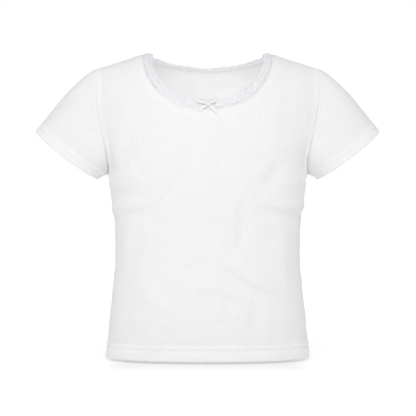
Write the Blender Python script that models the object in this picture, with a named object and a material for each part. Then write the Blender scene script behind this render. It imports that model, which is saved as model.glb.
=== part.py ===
"""A child's ribbed knit T-shirt with short sleeves, a lace-trimmed scoop neck and a small bow, filled out as worn.

Metres, +Z up. The shirt faces -Y, and +X is on the right of someone who looks at its front. The origin
lies midway between the neck ends of the two shoulder seams, at the level where a wearer's shoulders
carry the shirt.

Every cut piece is a wall of cloth. Its points are named by two numbers on the cloth: `across`, from 0 at
the centre line to 1 at the side seam, and `climb`, the distance in metres above the line between the
armpits. form() lays such a point on a general child's figure.
"""

import math
from collections import namedtuple

import bmesh
import bpy
import numpy as np
from mathutils.geometry import delaunay_2d_cdt

FRONT, BACK = -1, 1

# Cloth
WALL = 0.0012
SEAM_GAP = 0.0003
RIB_HEIGHT = 0.0005
PANEL_RIBS = 76
SLEEVE_RIBS = 60

# Body: heights are measured from the neck ends of the shoulder seams
HEM_HEIGHT = -0.3955
ARMPIT_HEIGHT = -0.156
SHOULDER_SLOPE = 0.335
SHOULDER_HALF = 0.146
NECK_HALF = 0.084
NECK_ROUND = 0.020
RING_ROUNDNESS = 2.3
CHEST_ROUNDNESS = 2.3
CLIMB_TOP = 0.180

Section = namedtuple("Section", "height half_width front back")
TORSO = (
    Section(-0.3955, 0.1330, 0.0790, 0.0770),
    Section(-0.3490, 0.1284, 0.0768, 0.0745),
    Section(-0.3070, 0.1240, 0.0735, 0.0715),
    Section(-0.2550, 0.1205, 0.0715, 0.0690),
    Section(-0.2125, 0.1226, 0.0735, 0.0700),
    Section(-0.1815, 0.1268, 0.0765, 0.0720),
    Section(-0.1560, 0.1305, 0.0780, 0.0735),
)

# Armhole, as shares of the half panel's width and of the height from armpit to shoulder
ARMHOLE_ACROSS = 0.83
UNDERARM_RISE = 0.30
ARMHOLE_POINTS = 14

# Neck edge: how far each panel's edge drops at its centre
NECK_DROP = {FRONT: 0.0732, BACK: 0.0200}
NECK_ROUNDNESS = {FRONT: 2.12, BACK: 1.6}
NECK_POINTS = 16

# Hem and seams
HEM_DEPTH = 0.0205
HEM_STEP = 0.0006
HEM_EASE = 0.0014
SEAM_RIDGE = 0.0006
SEAM_RIDGE_AT = (0.0022, 0.0046)
SEAM_CLEAR = 0.0066

# Heights of the rows of points up a panel, between the hem band and the shoulder
LOWER_CLIMBS = (-0.178, -0.134, -0.092, -0.046, 0.0)
UPPER_CLIMBS = (0.022, 0.044, 0.066, 0.088, 0.110, 0.130, 0.148, 0.164, 0.174)
INNER_STEP = 5  # the plain inside has a column of points at every fifth half rib
EDGE_CLEAR = 0.0016

# Soft folds: each runs between two points of the front or back view, and dents the cloth
Fold = namedtuple("Fold", "facing from_x from_z to_x to_z width depth")
FOLDS = (
    Fold(FRONT, -0.124, -0.208, -0.062, -0.186, 0.0070, 0.0022),
    Fold(FRONT, 0.124, -0.206, 0.076, -0.202, 0.0075, 0.0024),
    Fold(FRONT, 0.040, -0.286, 0.094, -0.318, 0.0075, 0.0020),
    Fold(FRONT, -0.078, -0.290, -0.058, -0.322, 0.0085, 0.0016),
    Fold(BACK, -0.122, -0.214, -0.060, -0.232, 0.0080, 0.0020),
    Fold(BACK, 0.122, -0.206, 0.050, -0.228, 0.0080, 0.0022),
    Fold(BACK, 0.072, -0.296, 0.020, -0.322, 0.0080, 0.0016),
)

# Sleeve: the hem is an ellipse, and the cap's length over its width sets where the ribs meet the armhole
SLEEVE_HEM_CENTRE = (0.1834, 0.0, -0.1314)
SLEEVE_HEM_HALF = 0.0514
SLEEVE_HEM_HALF_DEPTH = 0.0320
SLEEVE_HEM_ANGLE = math.radians(52.5)
SLEEVE_DROP_ANGLE = math.radians(50.5)
SLEEVE_TURN_BACK = math.radians(8.0)
SLEEVE_CUT_HALF = 0.131
SLEEVE_CAP = 0.095
SLEEVE_BAND = 0.012
SLEEVE_BAND_SHARE = 0.6
SLEEVE_ROWS = 5
CAP_FULLNESS = 0.65
HEM_FULLNESS = 1.2
SLEEVE_BULGE = 0.30
SLEEVE_HEM_POINTS = 40
UNDERARM_DIRECTION = (0.72, 0.0, -0.69)

# Lace: a strip of scallops that stands up from the neck edge and curls inwards
LACE_WIDTH = 0.0135
LACE_WALL = 0.0010
LACE_SINK = 0.0002
SCALLOPS = 42
SCALLOP_POINTS = 4
SCALLOP_DEPTH = 0.0016
LACE_ROWS = (0.0, 0.55, 1.0)

# How the lace leaves the cloth at three places round the neck: tilted outwards, then curled inwards
Stand = namedtuple("Stand", "tilt curl")
LACE_AT_FRONT = Stand(math.radians(0), math.radians(14))
LACE_AT_SHOULDER = Stand(math.radians(15), math.radians(78))
LACE_AT_BACK = Stand(math.radians(0), math.radians(100))

# Bow: two loops, two tails and a knot of narrow ribbon
BOW_ASIDE = 0.0008
BOW_UP_LACE = 0.44
RIBBON_WIDTH = 0.0036
RIBBON_WALL = 0.0008
LOOP_ROOT = 0.0008
LOOP_TIP = 0.0016
LOOP_POINTS = 18
TAIL_POINTS = 6
Wing = namedtuple("Wing", "word side loop_length loop_rise tail_length tail_drop")
WINGS = (
    Wing("left", -1, 0.0115, math.radians(17), 0.0125, math.radians(33)),
    Wing("right", 1, 0.0085, math.radians(24), 0.0125, math.radians(44)),
)
PINCH = 0.4
KNOT_SIZE = (0.0044, 0.0030, 0.0048)
BOW_CLEARANCE = 0.0003

# Colours
RIB_WHITE = (0.90, 0.90, 0.90, 1.0)
LACE_WHITE = (0.88, 0.89, 0.93, 1.0)
RIBBON_WHITE = (0.94, 0.94, 0.95, 1.0)


def clear_scene():
    for leftover in list(bpy.data.objects):
        bpy.data.objects.remove(leftover, do_unlink=True)


def material(name, colour, roughness):
    made = bpy.data.materials.new(name)
    made.use_nodes = True
    shader = made.node_tree.nodes["Principled BSDF"]
    shader.inputs["Base Color"].default_value = colour
    shader.inputs["Roughness"].default_value = roughness
    shader.inputs["Metallic"].default_value = 0.0
    return made


def add_solid(name, points, faces, finish, collection):
    """One closed body from its points and faces, with its faces turned outwards."""
    mesh = bpy.data.meshes.new(name)
    mesh.from_pydata([tuple(p) for p in points], [], faces)
    shape = bmesh.new()
    shape.from_mesh(mesh)
    bmesh.ops.recalc_face_normals(shape, faces=shape.faces)
    shape.to_mesh(mesh)
    shape.free()
    mesh.materials.append(finish)
    mesh.shade_smooth()
    solid = bpy.data.objects.new(name, mesh)
    collection.objects.link(solid)
    return solid


def unit(vectors):
    vectors = np.asarray(vectors, float)
    return vectors / np.linalg.norm(vectors, axis=-1, keepdims=True)


# ---------------------------------------------------------------- the figure that fills the shirt


def section_value(column, height):
    """A column of TORSO at any height, on a smooth curve through its rows."""
    heights = np.array([row.height for row in TORSO])
    values = np.array([getattr(row, column) for row in TORSO])
    slopes = np.gradient(values, heights)
    height = np.clip(height, heights[0], heights[-1])
    low = np.clip(np.searchsorted(heights, height) - 1, 0, len(heights) - 2)
    span = heights[low + 1] - heights[low]
    t = (height - heights[low]) / span
    return (
        (2 * t**3 - 3 * t**2 + 1) * values[low]
        + (t**3 - 2 * t**2 + t) * span * slopes[low]
        + (3 * t**2 - 2 * t**3) * values[low + 1]
        + (t**3 - t**2) * span * slopes[low + 1]
    )


def even_turns(half_width, depth):
    """(shares, turns): the angle round a quarter ring at which each share of its length is reached."""
    turns = np.linspace(0.0, math.pi / 2, 1201)
    x = half_width * np.sin(turns) ** (2 / RING_ROUNDNESS)
    y = depth * np.cos(turns) ** (2 / RING_ROUNDNESS)
    run = np.concatenate([[0.0], np.cumsum(np.hypot(np.diff(x), np.diff(y)))])
    return run / run[-1], turns


CHEST = TORSO[-1]
RING_SHARES, RING_TURNS = even_turns(CHEST.half_width, (CHEST.front + CHEST.back) / 2)
SHOULDER_SPREAD = SHOULDER_HALF / ARMHOLE_ACROSS


def ridge_height(x):
    """The shoulder line's height at a distance x from the centre."""
    return -SHOULDER_SLOPE * (np.hypot(x, NECK_ROUND) - math.hypot(NECK_HALF, NECK_ROUND))


def form(across, climb, facing):
    """Where the cloth's outer surface lies, before ribs and folds."""
    across, climb = np.broadcast_arrays(np.asarray(across, float), np.asarray(climb, float))
    reach = np.clip(np.abs(across), 0.0, 1.0)
    height = ARMPIT_HEIGHT + np.minimum(climb, 0.0)
    turn = np.interp(reach, RING_SHARES, RING_TURNS)
    depth = section_value("front" if facing == FRONT else "back", height)
    ring_x = section_value("half_width", height) * np.sin(turn) ** (2 / RING_ROUNDNESS)
    ring_y = depth * np.cos(turn) ** (2 / RING_ROUNDNESS)
    rise = np.sin(np.clip(climb / CLIMB_TOP, 0.0, 1.0) * math.pi / 2)
    ridge_x = SHOULDER_SPREAD * reach
    flare = (1 - (1 - rise) ** 2.5) ** 1.5
    x = ring_x + (ridge_x - ring_x) * flare
    z = height + (ridge_height(ridge_x) - ARMPIT_HEIGHT) * rise
    y = ring_y * (1 - rise**CHEST_ROUNDNESS) ** (1 / CHEST_ROUNDNESS)
    return np.stack([np.sign(across) * x, facing * y, z], axis=-1)


def outward(across, climb, facing):
    """The outer surface's unit normal."""
    step = 1e-4
    across, climb = np.broadcast_arrays(np.asarray(across, float), np.asarray(climb, float))
    sideways = form(np.minimum(across + step, 1), climb, facing) - form(
        np.maximum(across - step, -1), climb, facing
    )
    upwards = form(across, np.minimum(climb + step, CLIMB_TOP), facing) - form(
        across, climb - step, facing
    )
    return unit(np.cross(sideways, upwards) * -facing)


def fold_depth(points, facing):
    """How far the folds push each point inwards."""
    depth = np.zeros(len(points))
    for fold in FOLDS:
        if fold.facing != facing:
            continue
        start = np.array([fold.from_x, fold.from_z])
        along = np.array([fold.to_x, fold.to_z]) - start
        offset = points[:, [0, 2]] - start
        share = np.clip(offset @ along / (along @ along), 0.0, 1.0)
        away = np.linalg.norm(offset - share[:, None] * along, axis=1)
        depth += fold.depth * np.exp(-((away / fold.width) ** 2)) * (0.45 + 0.55 * np.sin(math.pi * share))
    return depth


# ---------------------------------------------------------------- outlines of the cut pieces


def armhole(facing, shares):
    """(across, climb) at shares of the armhole's length, from 0 at the armpit to 1 at the shoulder."""
    rise = np.linspace(0.0, 1.0, 1501) ** 2
    low = np.clip(rise / UNDERARM_RISE, 0.0, 1.0)
    across = 1 - (1 - ARMHOLE_ACROSS) * np.sqrt(1 - (1 - low) ** 2)
    climb = CLIMB_TOP * np.arcsin(rise) * 2 / math.pi
    steps = np.linalg.norm(np.diff(form(across, climb, facing), axis=0), axis=1)
    run = np.concatenate([[0.0], np.cumsum(steps)])
    return np.interp(shares, run / run[-1], across), np.interp(shares, run / run[-1], climb)


def seen_at(facing, x, z):
    """(across, climb) of the points above the armpit that the front view shows at x and z, found step by step."""
    across = x / SHOULDER_SPREAD
    for _ in range(40):
        top = ridge_height(SHOULDER_SPREAD * across)
        rise = np.clip((z - ARMPIT_HEIGHT) / (top - ARMPIT_HEIGHT), 0.0, 1.0)
        climb = CLIMB_TOP * np.arcsin(rise) * 2 / math.pi
        across = across + (x - form(across, climb, facing)[..., 0]) / SHOULDER_SPREAD
    return across, climb


def neck_edge(facing, bearings):
    """(across, climb) of the neck edge at bearings from 0 at the centre line to a right angle at the shoulder.

    In the front view the edge is nearly half an ellipse.
    """
    power = 2 / NECK_ROUNDNESS[facing]
    aim_x = NECK_HALF * np.sin(bearings) ** power
    aim_z = -NECK_DROP[facing] * np.clip(np.cos(bearings), 0.0, 1.0) ** power
    return seen_at(facing, aim_x, aim_z)


def half_outline(facing):
    """The right half of a panel's outline, from the hem's centre up to the neck's centre."""
    hem = HEM_HEIGHT - ARMPIT_HEIGHT
    hem_across = np.linspace(0.0, 1.0, PANEL_RIBS // 4 + 1)
    points = [(a, hem) for a in hem_across]
    points += [(1.0, c) for c in (hem + HEM_DEPTH, *LOWER_CLIMBS[:-1])]
    points += list(zip(*armhole(facing, np.linspace(0.0, 1.0, ARMHOLE_POINTS + 1))))
    neck = list(zip(*neck_edge(facing, np.linspace(math.pi / 2, 0.0, NECK_POINTS + 1))))
    shoulder = np.linspace(ARMHOLE_ACROSS, neck[0][0], 8)[1:-1]
    points += [(a, CLIMB_TOP) for a in shoulder]
    return points + neck


def panel_outline(facing):
    right = half_outline(facing)
    left = [(-a, c) for a, c in reversed(right[1:-1])]
    return np.array(right + left)


# ---------------------------------------------------------------- front and back

CLOTH_HALF = 0.170  # a half panel's width, which turns `across` into metres on the cloth


def on_cloth(points):
    return np.asarray(points) * np.array([CLOTH_HALF, 1.0])


def distance_to(points, path, closed=True):
    """The distance on the cloth from each point to a path."""
    points, path = on_cloth(points), on_cloth(path)
    ends = np.roll(path, -1, axis=0) if closed else path[1:]
    starts = path if closed else path[:-1]
    along = ends - starts
    offset = points[:, None, :] - starts[None]
    share = np.clip((offset * along).sum(-1) / (along**2).sum(-1), 0.0, 1.0)
    return np.linalg.norm(offset - share[..., None] * along, axis=-1).min(axis=1)


def inside(points, outline):
    """Whether each point lies within a closed outline."""
    x, y = points[:, 0:1], points[:, 1:2]
    x0, y0 = outline[:, 0], outline[:, 1]
    x1, y1 = np.roll(x0, -1), np.roll(y0, -1)
    with np.errstate(divide="ignore", invalid="ignore"):
        crossing = x0 + (y - y0) * (x1 - x0) / (y1 - y0)
    return (((y0 > y) != (y1 > y)) & (x < crossing)).sum(axis=1) % 2 == 1


def fold_climbs(across, facing):
    """The climbs at which a column of points crosses a fold, with one to each side of it."""
    climbs = []
    x = form(across, -0.06, facing)[0]
    for fold in FOLDS:
        low, high = sorted((fold.from_x, fold.to_x))
        if fold.facing == facing and low - fold.width < x < high + fold.width:
            share = np.clip((x - fold.from_x) / (fold.to_x - fold.from_x), 0.0, 1.0)
            centre = fold.from_z + share * (fold.to_z - fold.from_z) - ARMPIT_HEIGHT
            climbs += [centre - fold.width, centre, centre + fold.width]
    return climbs


def grid_points(step, facing):
    """The points within a panel on every step-th half rib, each with the height of the wall's relief."""
    hem = HEM_HEIGHT - ARMPIT_HEIGHT
    half_ribs = PANEL_RIBS
    found, lifts = [], []
    for i in range(-half_ribs + 1, half_ribs):
        if i % step:
            continue
        across = i / half_ribs
        folded = fold_climbs(across, facing)
        plain = [c for c in LOWER_CLIMBS if all(abs(c - f) > 0.012 for f in folded)]
        band = [hem + HEM_EASE, hem + HEM_DEPTH - HEM_EASE]
        for climb in (*band, hem + HEM_DEPTH, *plain, *folded, *UPPER_CLIMBS):
            found.append((across, climb))
            rib = RIB_HEIGHT if i % 2 == 0 else 0.0
            lifts.append(rib + (HEM_STEP if climb in band else 0.0))
    return np.array(found), np.array(lifts)


def triangulate(outline, within):
    """Triangles over an outline and the points within it, with columns kept together."""
    squeeze = np.array([CLOTH_HALF, 0.18])
    points = np.concatenate([outline, within]) * squeeze
    ring = list(range(len(outline)))
    _, _, faces, sources, _, _ = delaunay_2d_cdt([tuple(p) for p in points], [], [ring], 1, 1e-7)
    return [[sources[v][0] for v in face] for face in faces]


def build_panel(name, facing, finish, collection):
    """A front or back: a ribbed outside over a plain inside, with raised armhole seams and hem."""
    outline = panel_outline(facing)
    armhole_path = np.array(list(zip(*armhole(facing, np.linspace(0.0, 1.0, ARMHOLE_POINTS + 1)))))
    other_armhole = armhole_path * np.array([-1, 1])

    within, lifts = grid_points(1, facing)
    from_armhole = np.minimum(
        distance_to(within, armhole_path, closed=False),
        distance_to(within, other_armhole, closed=False),
    )
    keep = inside(within, outline) & (distance_to(within, outline) > EDGE_CLEAR) & (from_armhole > SEAM_CLEAR)
    within, lifts = within[keep], lifts[keep]
    for inset in SEAM_RIDGE_AT:
        ridge = seam_line(armhole_path, inset)
        ridge = np.concatenate([ridge, ridge * np.array([-1, 1])])
        ridge = ridge[inside(ridge, outline) & (distance_to(ridge, outline) > EDGE_CLEAR / 2)]
        within = np.concatenate([within, ridge])
        lifts = np.concatenate([lifts, np.full(len(ridge), SEAM_RIDGE)])

    coarse, _ = grid_points(INNER_STEP, facing)
    coarse = coarse[inside(coarse, outline) & (distance_to(coarse, outline) > 2 * EDGE_CLEAR)]

    count = len(outline)
    outer = np.concatenate([outline, within])
    outer_lift = np.concatenate([np.zeros(count), lifts])
    inner = np.concatenate([outline, coarse])
    apart = np.array([0.0, facing * SEAM_GAP / 2, 0.0])
    outer_points = laid(outer, outer_lift, facing) + apart
    inner_points = laid(inner, np.full(len(inner), -WALL), facing) + apart

    base = len(outer)
    faces = triangulate(outline, within)
    faces += [[base + v for v in reversed(face)] for face in triangulate(outline, coarse)]
    for i in range(count):
        j = (i + 1) % count
        faces.append([i, base + i, base + j, j])
    add_solid(name, np.concatenate([outer_points, inner_points]), faces, finish, collection)


def seam_line(path, inset):
    """A path moved inwards on the cloth, away from the armhole."""
    metres = on_cloth(path)
    along = unit(np.gradient(metres, axis=0))
    inwards = np.stack([-along[:, 1], along[:, 0]], axis=1)
    return (metres + inwards * inset) / np.array([CLOTH_HALF, 1.0])


def laid(points, lifts, facing):
    """Cloth points on the figure, moved out by their lifts and in by the folds."""
    across, climb = points[:, 0], points[:, 1]
    surface = form(across, climb, facing)
    rise = lifts - fold_depth(surface, facing)
    return surface + outward(across, climb, facing) * rise[:, None]


# ---------------------------------------------------------------- sleeves


def sleeve_direction(drop):
    """The way out of the sleeve when it drops by an angle from level and turns a little to the back."""
    level = math.cos(SLEEVE_TURN_BACK)
    return np.array([math.cos(drop) * level, math.sin(SLEEVE_TURN_BACK), -math.sin(drop) * level])


SLEEVE_UP = np.array([math.sin(SLEEVE_HEM_ANGLE), 0.0, math.cos(SLEEVE_HEM_ANGLE)])
SLEEVE_FORWARD = np.cross(sleeve_direction(SLEEVE_HEM_ANGLE), SLEEVE_UP)
SLEEVE_OUT = sleeve_direction(SLEEVE_DROP_ANGLE)
SHOULDER_DIRECTION = unit([1.0, 0.0, -SHOULDER_SLOPE])


def cap_shares(rounds):
    """How far round the armhole each place on the sleeve is sewn: 0 at the shoulder, 1 at the armpit."""
    place = np.linspace(0.0, 1.0, 801)
    slope = SLEEVE_CAP * math.pi / 2 * np.sin(math.pi * place)
    run = np.concatenate([[0.0], np.cumsum(np.hypot(SLEEVE_CUT_HALF, slope[1:]) * np.diff(place))])
    return np.interp(np.abs(rounds), place, run / run[-1])


def hem_angles(rounds):
    """The angle round the sleeve's hem at which each share of its length is reached."""
    angle = np.linspace(0.0, math.pi, 801)
    x, y = SLEEVE_HEM_HALF * np.cos(angle), SLEEVE_HEM_HALF_DEPTH * np.sin(angle)
    run = np.concatenate([[0.0], np.cumsum(np.hypot(np.diff(x), np.diff(y)))])
    return np.interp(np.abs(rounds), run / run[-1], angle)


def sleeve_point(rounds, along):
    """The right sleeve's outer surface. rounds is 0 at the shoulder, 1 at the underarm in front and -1 behind;
    along is 0 at the armhole and 1 at the hem."""
    rounds, along = np.broadcast_arrays(np.asarray(rounds, float), np.asarray(along, float))
    rounds = (rounds + 1) % 2 - 1
    shares = 1 - cap_shares(rounds)
    front = form(*armhole(FRONT, shares), FRONT)
    back = form(*armhole(BACK, shares), BACK)
    root = np.where((rounds >= 0)[..., None], front, back)
    angle = hem_angles(rounds) * np.where(rounds >= 0, 1, -1)
    hem = (
        np.array(SLEEVE_HEM_CENTRE)
        + SLEEVE_HEM_HALF * np.cos(angle)[..., None] * SLEEVE_UP
        + SLEEVE_HEM_HALF_DEPTH * np.sin(angle)[..., None] * SLEEVE_FORWARD
    )
    over = (np.cos(rounds * math.pi / 2) ** 2)[..., None]
    bulge = (SLEEVE_BULGE * np.sin(math.pi * rounds))[..., None] * np.array([0.0, -1.0, 0.0])
    leaving = unit(over * SHOULDER_DIRECTION + (1 - over) * unit(UNDERARM_DIRECTION) + bulge)
    length = np.linalg.norm(hem - root, axis=-1)[..., None]
    t = along[..., None]
    curve = (
        (2 * t**3 - 3 * t**2 + 1) * root
        + (t**3 - 2 * t**2 + t) * CAP_FULLNESS * length * leaving
        + (3 * t**2 - 2 * t**3) * hem
        + (t**3 - t**2) * HEM_FULLNESS * length * SLEEVE_OUT
    )
    return curve + SEAM_GAP * leaving


def sleeve_loop(rounds, along, lift):
    """A ring of points round the sleeve, moved out by lift."""
    step = 1e-4
    here = sleeve_point(rounds, along)
    around = sleeve_point(rounds + step, along) - sleeve_point(rounds - step, along)
    down = sleeve_point(rounds, np.minimum(along + step, 1)) - sleeve_point(rounds, np.maximum(along - step, 0))
    return here + unit(np.cross(around, down)) * np.broadcast_to(lift, here.shape[:1])[:, None]


def stitch(first, second):
    """Triangles between two closed loops, each a list of (place round the loop, point number)."""
    faces = []
    i = j = 0
    while i < len(first) or j < len(second):
        next_first = first[(i + 1) % len(first)][0] + 2 * ((i + 1) // len(first))
        next_second = second[(j + 1) % len(second)][0] + 2 * ((j + 1) // len(second))
        a, b = first[i % len(first)][1], second[j % len(second)][1]
        if j >= len(second) or (i < len(first) and next_first <= next_second):
            faces.append([a, b, first[(i + 1) % len(first)][1]])
            i += 1
        else:
            faces.append([a, b, second[(j + 1) % len(second)][1]])
            j += 1
    return faces


def build_sleeve(name, side, finish, collection):
    """A sleeve: a tube with ribs along it, set into the armhole, with a turned-up hem."""
    seam_shares = np.linspace(0.0, 1.0, ARMHOLE_POINTS + 1)
    half = np.interp(seam_shares, cap_shares(np.linspace(0, 1, 801)), np.linspace(0, 1, 801))
    seam = np.concatenate([-half[:0:-1], half[:-1]])
    hem = np.linspace(-1.0, 1.0, SLEEVE_HEM_POINTS, endpoint=False)
    ribbed = np.linspace(-1.0, 1.0, 2 * SLEEVE_RIBS, endpoint=False)
    plain = ribbed[:: 2 * SLEEVE_RIBS // 30]
    ribs = np.where(np.arange(len(ribbed)) % 2 == 0, RIB_HEIGHT, 0.0)

    length = np.linalg.norm(sleeve_point(ribbed, 1.0) - sleeve_point(ribbed, 0.0), axis=1)
    band = np.minimum(SLEEVE_BAND / length, SLEEVE_BAND_SHARE)
    ease = np.minimum(HEM_EASE / length, 0.08)
    loops = [(seam, 0.0 * seam, 0.0 * seam)]
    for row in range(1, SLEEVE_ROWS + 1):
        loops.append((ribbed, (1 - band - ease) * row / SLEEVE_ROWS, ribs))
    loops.append((ribbed, 1 - band + ease, ribs + HEM_STEP))
    loops.append((ribbed, 1 - ease, ribs + HEM_STEP))
    loops.append((hem, 0.0 * hem + 1.0, 0.0 * hem))
    loops.append((hem, 0.0 * hem + 1.0, 0.0 * hem - WALL))
    for row in range(SLEEVE_ROWS - 1, 0, -1):
        loops.append((plain, 0.0 * plain + row / SLEEVE_ROWS, 0.0 * plain - WALL))
    loops.append((seam, 0.0 * seam, 0.0 * seam - WALL))

    points, rings = [], []
    for rounds, along, lift in loops:
        rings.append([(place, len(points) + i) for i, place in enumerate(rounds)])
        points.extend(sleeve_loop(rounds, along, lift) * np.array([side, 1.0, 1.0]))
    faces = []
    for ring, following in zip(rings, rings[1:] + rings[:1]):
        faces += stitch(ring, following)
    add_solid(name, points, faces, finish, collection)


# ---------------------------------------------------------------- lace


def neck_loop(bearings):
    """(points, normals) round the neck edge: bearing 0 is the front's centre, half a turn the back's."""
    quarter = np.abs((bearings + math.pi) % (2 * math.pi) - math.pi)
    side = np.where(np.sin(bearings) >= 0, 1.0, -1.0)
    points, normals = np.zeros((len(bearings), 3)), np.zeros((len(bearings), 3))
    for facing, here, turn in (
        (FRONT, quarter <= math.pi / 2, quarter),
        (BACK, quarter > math.pi / 2, math.pi - quarter),
    ):
        across, climb = neck_edge(facing, turn[here])
        points[here] = form(across * side[here], climb, facing)
        normals[here] = outward(across * side[here], climb, facing)
    return points, normals


def even_bearings(count):
    """Bearings spaced evenly along the neck edge."""
    bearings = np.linspace(0.0, 2 * math.pi, 1441)
    points, _ = neck_loop(bearings)
    run = np.concatenate([[0.0], np.cumsum(np.linalg.norm(np.diff(points, axis=0), axis=1))])
    return np.interp(np.arange(count) / count * run[-1], run, bearings)


def lace_frame(bearings):
    """(edge points, normals, standing directions, tilts, curls) round the neck edge."""
    points, normals = neck_loop(bearings)
    before, _ = neck_loop(bearings - 0.01)
    after, _ = neck_loop(bearings + 0.01)
    standing = unit(np.cross(normals, unit(after - before)))
    front = np.clip(np.cos(bearings), 0.0, 1.0)[:, None] ** 0.6
    back = np.clip(-np.cos(bearings), 0.0, 1.0)[:, None]
    stand = (1 - front - back) * LACE_AT_SHOULDER + front * LACE_AT_FRONT + back * LACE_AT_BACK
    return points, normals, standing, stand[:, 0], stand[:, 1]


def lace_points(bearings, share, widths, lift):
    """(points, outward directions) of a line of lace at a share of its width, on an arc that leaves the neck
    edge and curls inwards."""
    points, normals, standing, tilt, curl = lace_frame(bearings)
    radius = (LACE_WIDTH / curl)[:, None]
    start = -tilt[:, None]
    swing = start + (share * widths / LACE_WIDTH * curl)[:, None]
    first = np.cos(start) * normals + np.sin(start) * standing
    out = np.cos(swing) * normals + np.sin(swing) * standing
    return points + SEAM_GAP * standing + radius * (out - first) + out * lift, out


def build_lace(finish, collection):
    """One strip of lace all round the neck, with a scalloped free edge."""
    count = SCALLOPS * SCALLOP_POINTS
    bearings = even_bearings(count)
    scallop = np.abs(np.sin(np.arange(count) * math.pi / SCALLOP_POINTS))
    widths = LACE_WIDTH - SCALLOP_DEPTH * (1 - scallop)
    rings = []
    for share in LACE_ROWS:
        rings.append(lace_points(bearings, share, widths, -LACE_SINK)[0])
    for share in reversed(LACE_ROWS):
        rings.append(lace_points(bearings, share, widths, -LACE_SINK - LACE_WALL)[0])
    faces = []
    for ring in range(len(rings)):
        following = (ring + 1) % len(rings)
        for i in range(count):
            j = (i + 1) % count
            faces.append([ring * count + i, ring * count + j, following * count + j, following * count + i])
    add_solid("neck_lace", np.concatenate(rings), faces, finish, collection)


# ---------------------------------------------------------------- bow


def bow_frame():
    """(centre, right, up, out) of the bow, which lies on the lace near the front's centre."""
    points, out = lace_points(np.array([0.0]), BOW_UP_LACE, np.array([LACE_WIDTH]), -LACE_SINK)
    right = np.array([1.0, 0.0, 0.0])
    return points[0] + BOW_ASIDE * right, right, np.cross(right, -out[0]), out[0]


def ribbon(path, across_ribbon, widths, closed):
    """Points and faces of a ribbon that follows a path. across_ribbon points across its width."""
    path = np.asarray(path)
    if closed:
        along = unit(np.roll(path, -1, axis=0) - np.roll(path, 1, axis=0))
    else:
        along = unit(np.gradient(path, axis=0))
    half = np.broadcast_to(across_ribbon, path.shape) * np.asarray(widths)[:, None] / 2
    thick = unit(np.cross(along, across_ribbon)) * RIBBON_WALL / 2
    points, faces = [], []
    for centre, w, t in zip(path, half, thick):
        points += [centre + w + t, centre - w + t, centre - w - t, centre + w - t]
    count = len(path)
    for i in range(count if closed else count - 1):
        a, b = 4 * i, 4 * ((i + 1) % count)
        for k in range(4):
            faces.append([a + k, a + (k + 1) % 4, b + (k + 1) % 4, b + k])
    if not closed:
        faces += [[3, 2, 1, 0], [4 * count - 4 + k for k in range(4)]]
    return points, faces


def loop_path(length):
    """(reach, aside) round a loop of ribbon, which is narrow and round at the knot and wider at its tip."""
    turns = np.linspace(-math.pi, math.pi, LOOP_POINTS, endpoint=False)
    tip = np.abs(turns) < math.pi / 2
    radius = np.where(tip, LOOP_TIP, LOOP_ROOT)
    centre = np.where(tip, length - LOOP_TIP, LOOP_ROOT)
    return centre + radius * np.cos(turns), radius * np.sin(turns)


def build_bow(finish, collection):
    """Two loops and two tails of ribbon, pinched at a knot, all just clear of the cloth and of each other."""
    centre, right, up, out = bow_frame()
    knot_wide, knot_deep, knot_tall = KNOT_SIZE
    middle = centre + out * (BOW_CLEARANCE + knot_deep / 2)
    from_knot = knot_tall / 2 + BOW_CLEARANCE
    for wing in WINGS:
        outwards = wing.side * right
        sideways = outwards * math.cos(wing.loop_rise) + up * math.sin(wing.loop_rise)
        upright = up * math.cos(wing.loop_rise) - outwards * math.sin(wing.loop_rise)
        reach, aside = loop_path(wing.loop_length)
        start = middle + sideways * (from_knot + RIBBON_WALL / 2)
        loop = start + reach[:, None] * sideways + aside[:, None] * out
        widths = RIBBON_WIDTH * (PINCH + (1 - PINCH) * (reach / wing.loop_length) ** 0.6)
        points, faces = ribbon(loop, upright, widths, closed=True)
        add_solid(f"bow_loop_{wing.word}", points, faces, finish, collection)

        falling = outwards * math.cos(wing.tail_drop) - up * math.sin(wing.tail_drop)
        level = up * math.cos(wing.tail_drop) + outwards * math.sin(wing.tail_drop)
        steps = np.linspace(0.0, 1.0, TAIL_POINTS)
        tail = middle + from_knot * falling + steps[:, None] * wing.tail_length * falling
        cloth = form(*seen_at(FRONT, tail[:, 0], tail[:, 2]), FRONT)
        resting = cloth[:, 1] - RIB_HEIGHT - BOW_CLEARANCE - RIBBON_WALL
        tail[:, 1] += np.minimum(2.0 * steps, 1.0) * (resting - tail[:, 1])
        widths = RIBBON_WIDTH * (PINCH + (1 - PINCH) * np.minimum(3 * steps, 1.0))
        points, faces = ribbon(tail, level, widths, closed=False)
        add_solid(f"bow_tail_{wing.word}", points, faces, finish, collection)

    bpy.ops.mesh.primitive_uv_sphere_add(segments=12, ring_count=8, radius=0.5)
    knot = bpy.context.object
    knot.name = "bow_knot"
    stretch = np.stack([right * knot_wide, out * knot_deep, up * knot_tall])
    for vertex in knot.data.vertices:
        vertex.co = middle + np.array(vertex.co) @ stretch
    shape = bmesh.new()
    shape.from_mesh(knot.data)
    bmesh.ops.recalc_face_normals(shape, faces=shape.faces)
    shape.to_mesh(knot.data)
    shape.free()
    knot.data.materials.append(finish)
    knot.data.shade_smooth()
    for holder in knot.users_collection:
        holder.objects.unlink(knot)
    collection.objects.link(knot)


def main():
    clear_scene()
    shirt = bpy.data.collections.new("t_shirt")
    bpy.context.scene.collection.children.link(shirt)
    knit = material("rib_knit", RIB_WHITE, 0.9)
    build_panel("front", FRONT, knit, shirt)
    build_panel("back", BACK, knit, shirt)
    build_sleeve("sleeve_left", -1, knit, shirt)
    build_sleeve("sleeve_right", 1, knit, shirt)
    build_lace(material("lace", LACE_WHITE, 0.85), shirt)
    build_bow(material("ribbon", RIBBON_WHITE, 0.45), shirt)


main()
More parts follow.
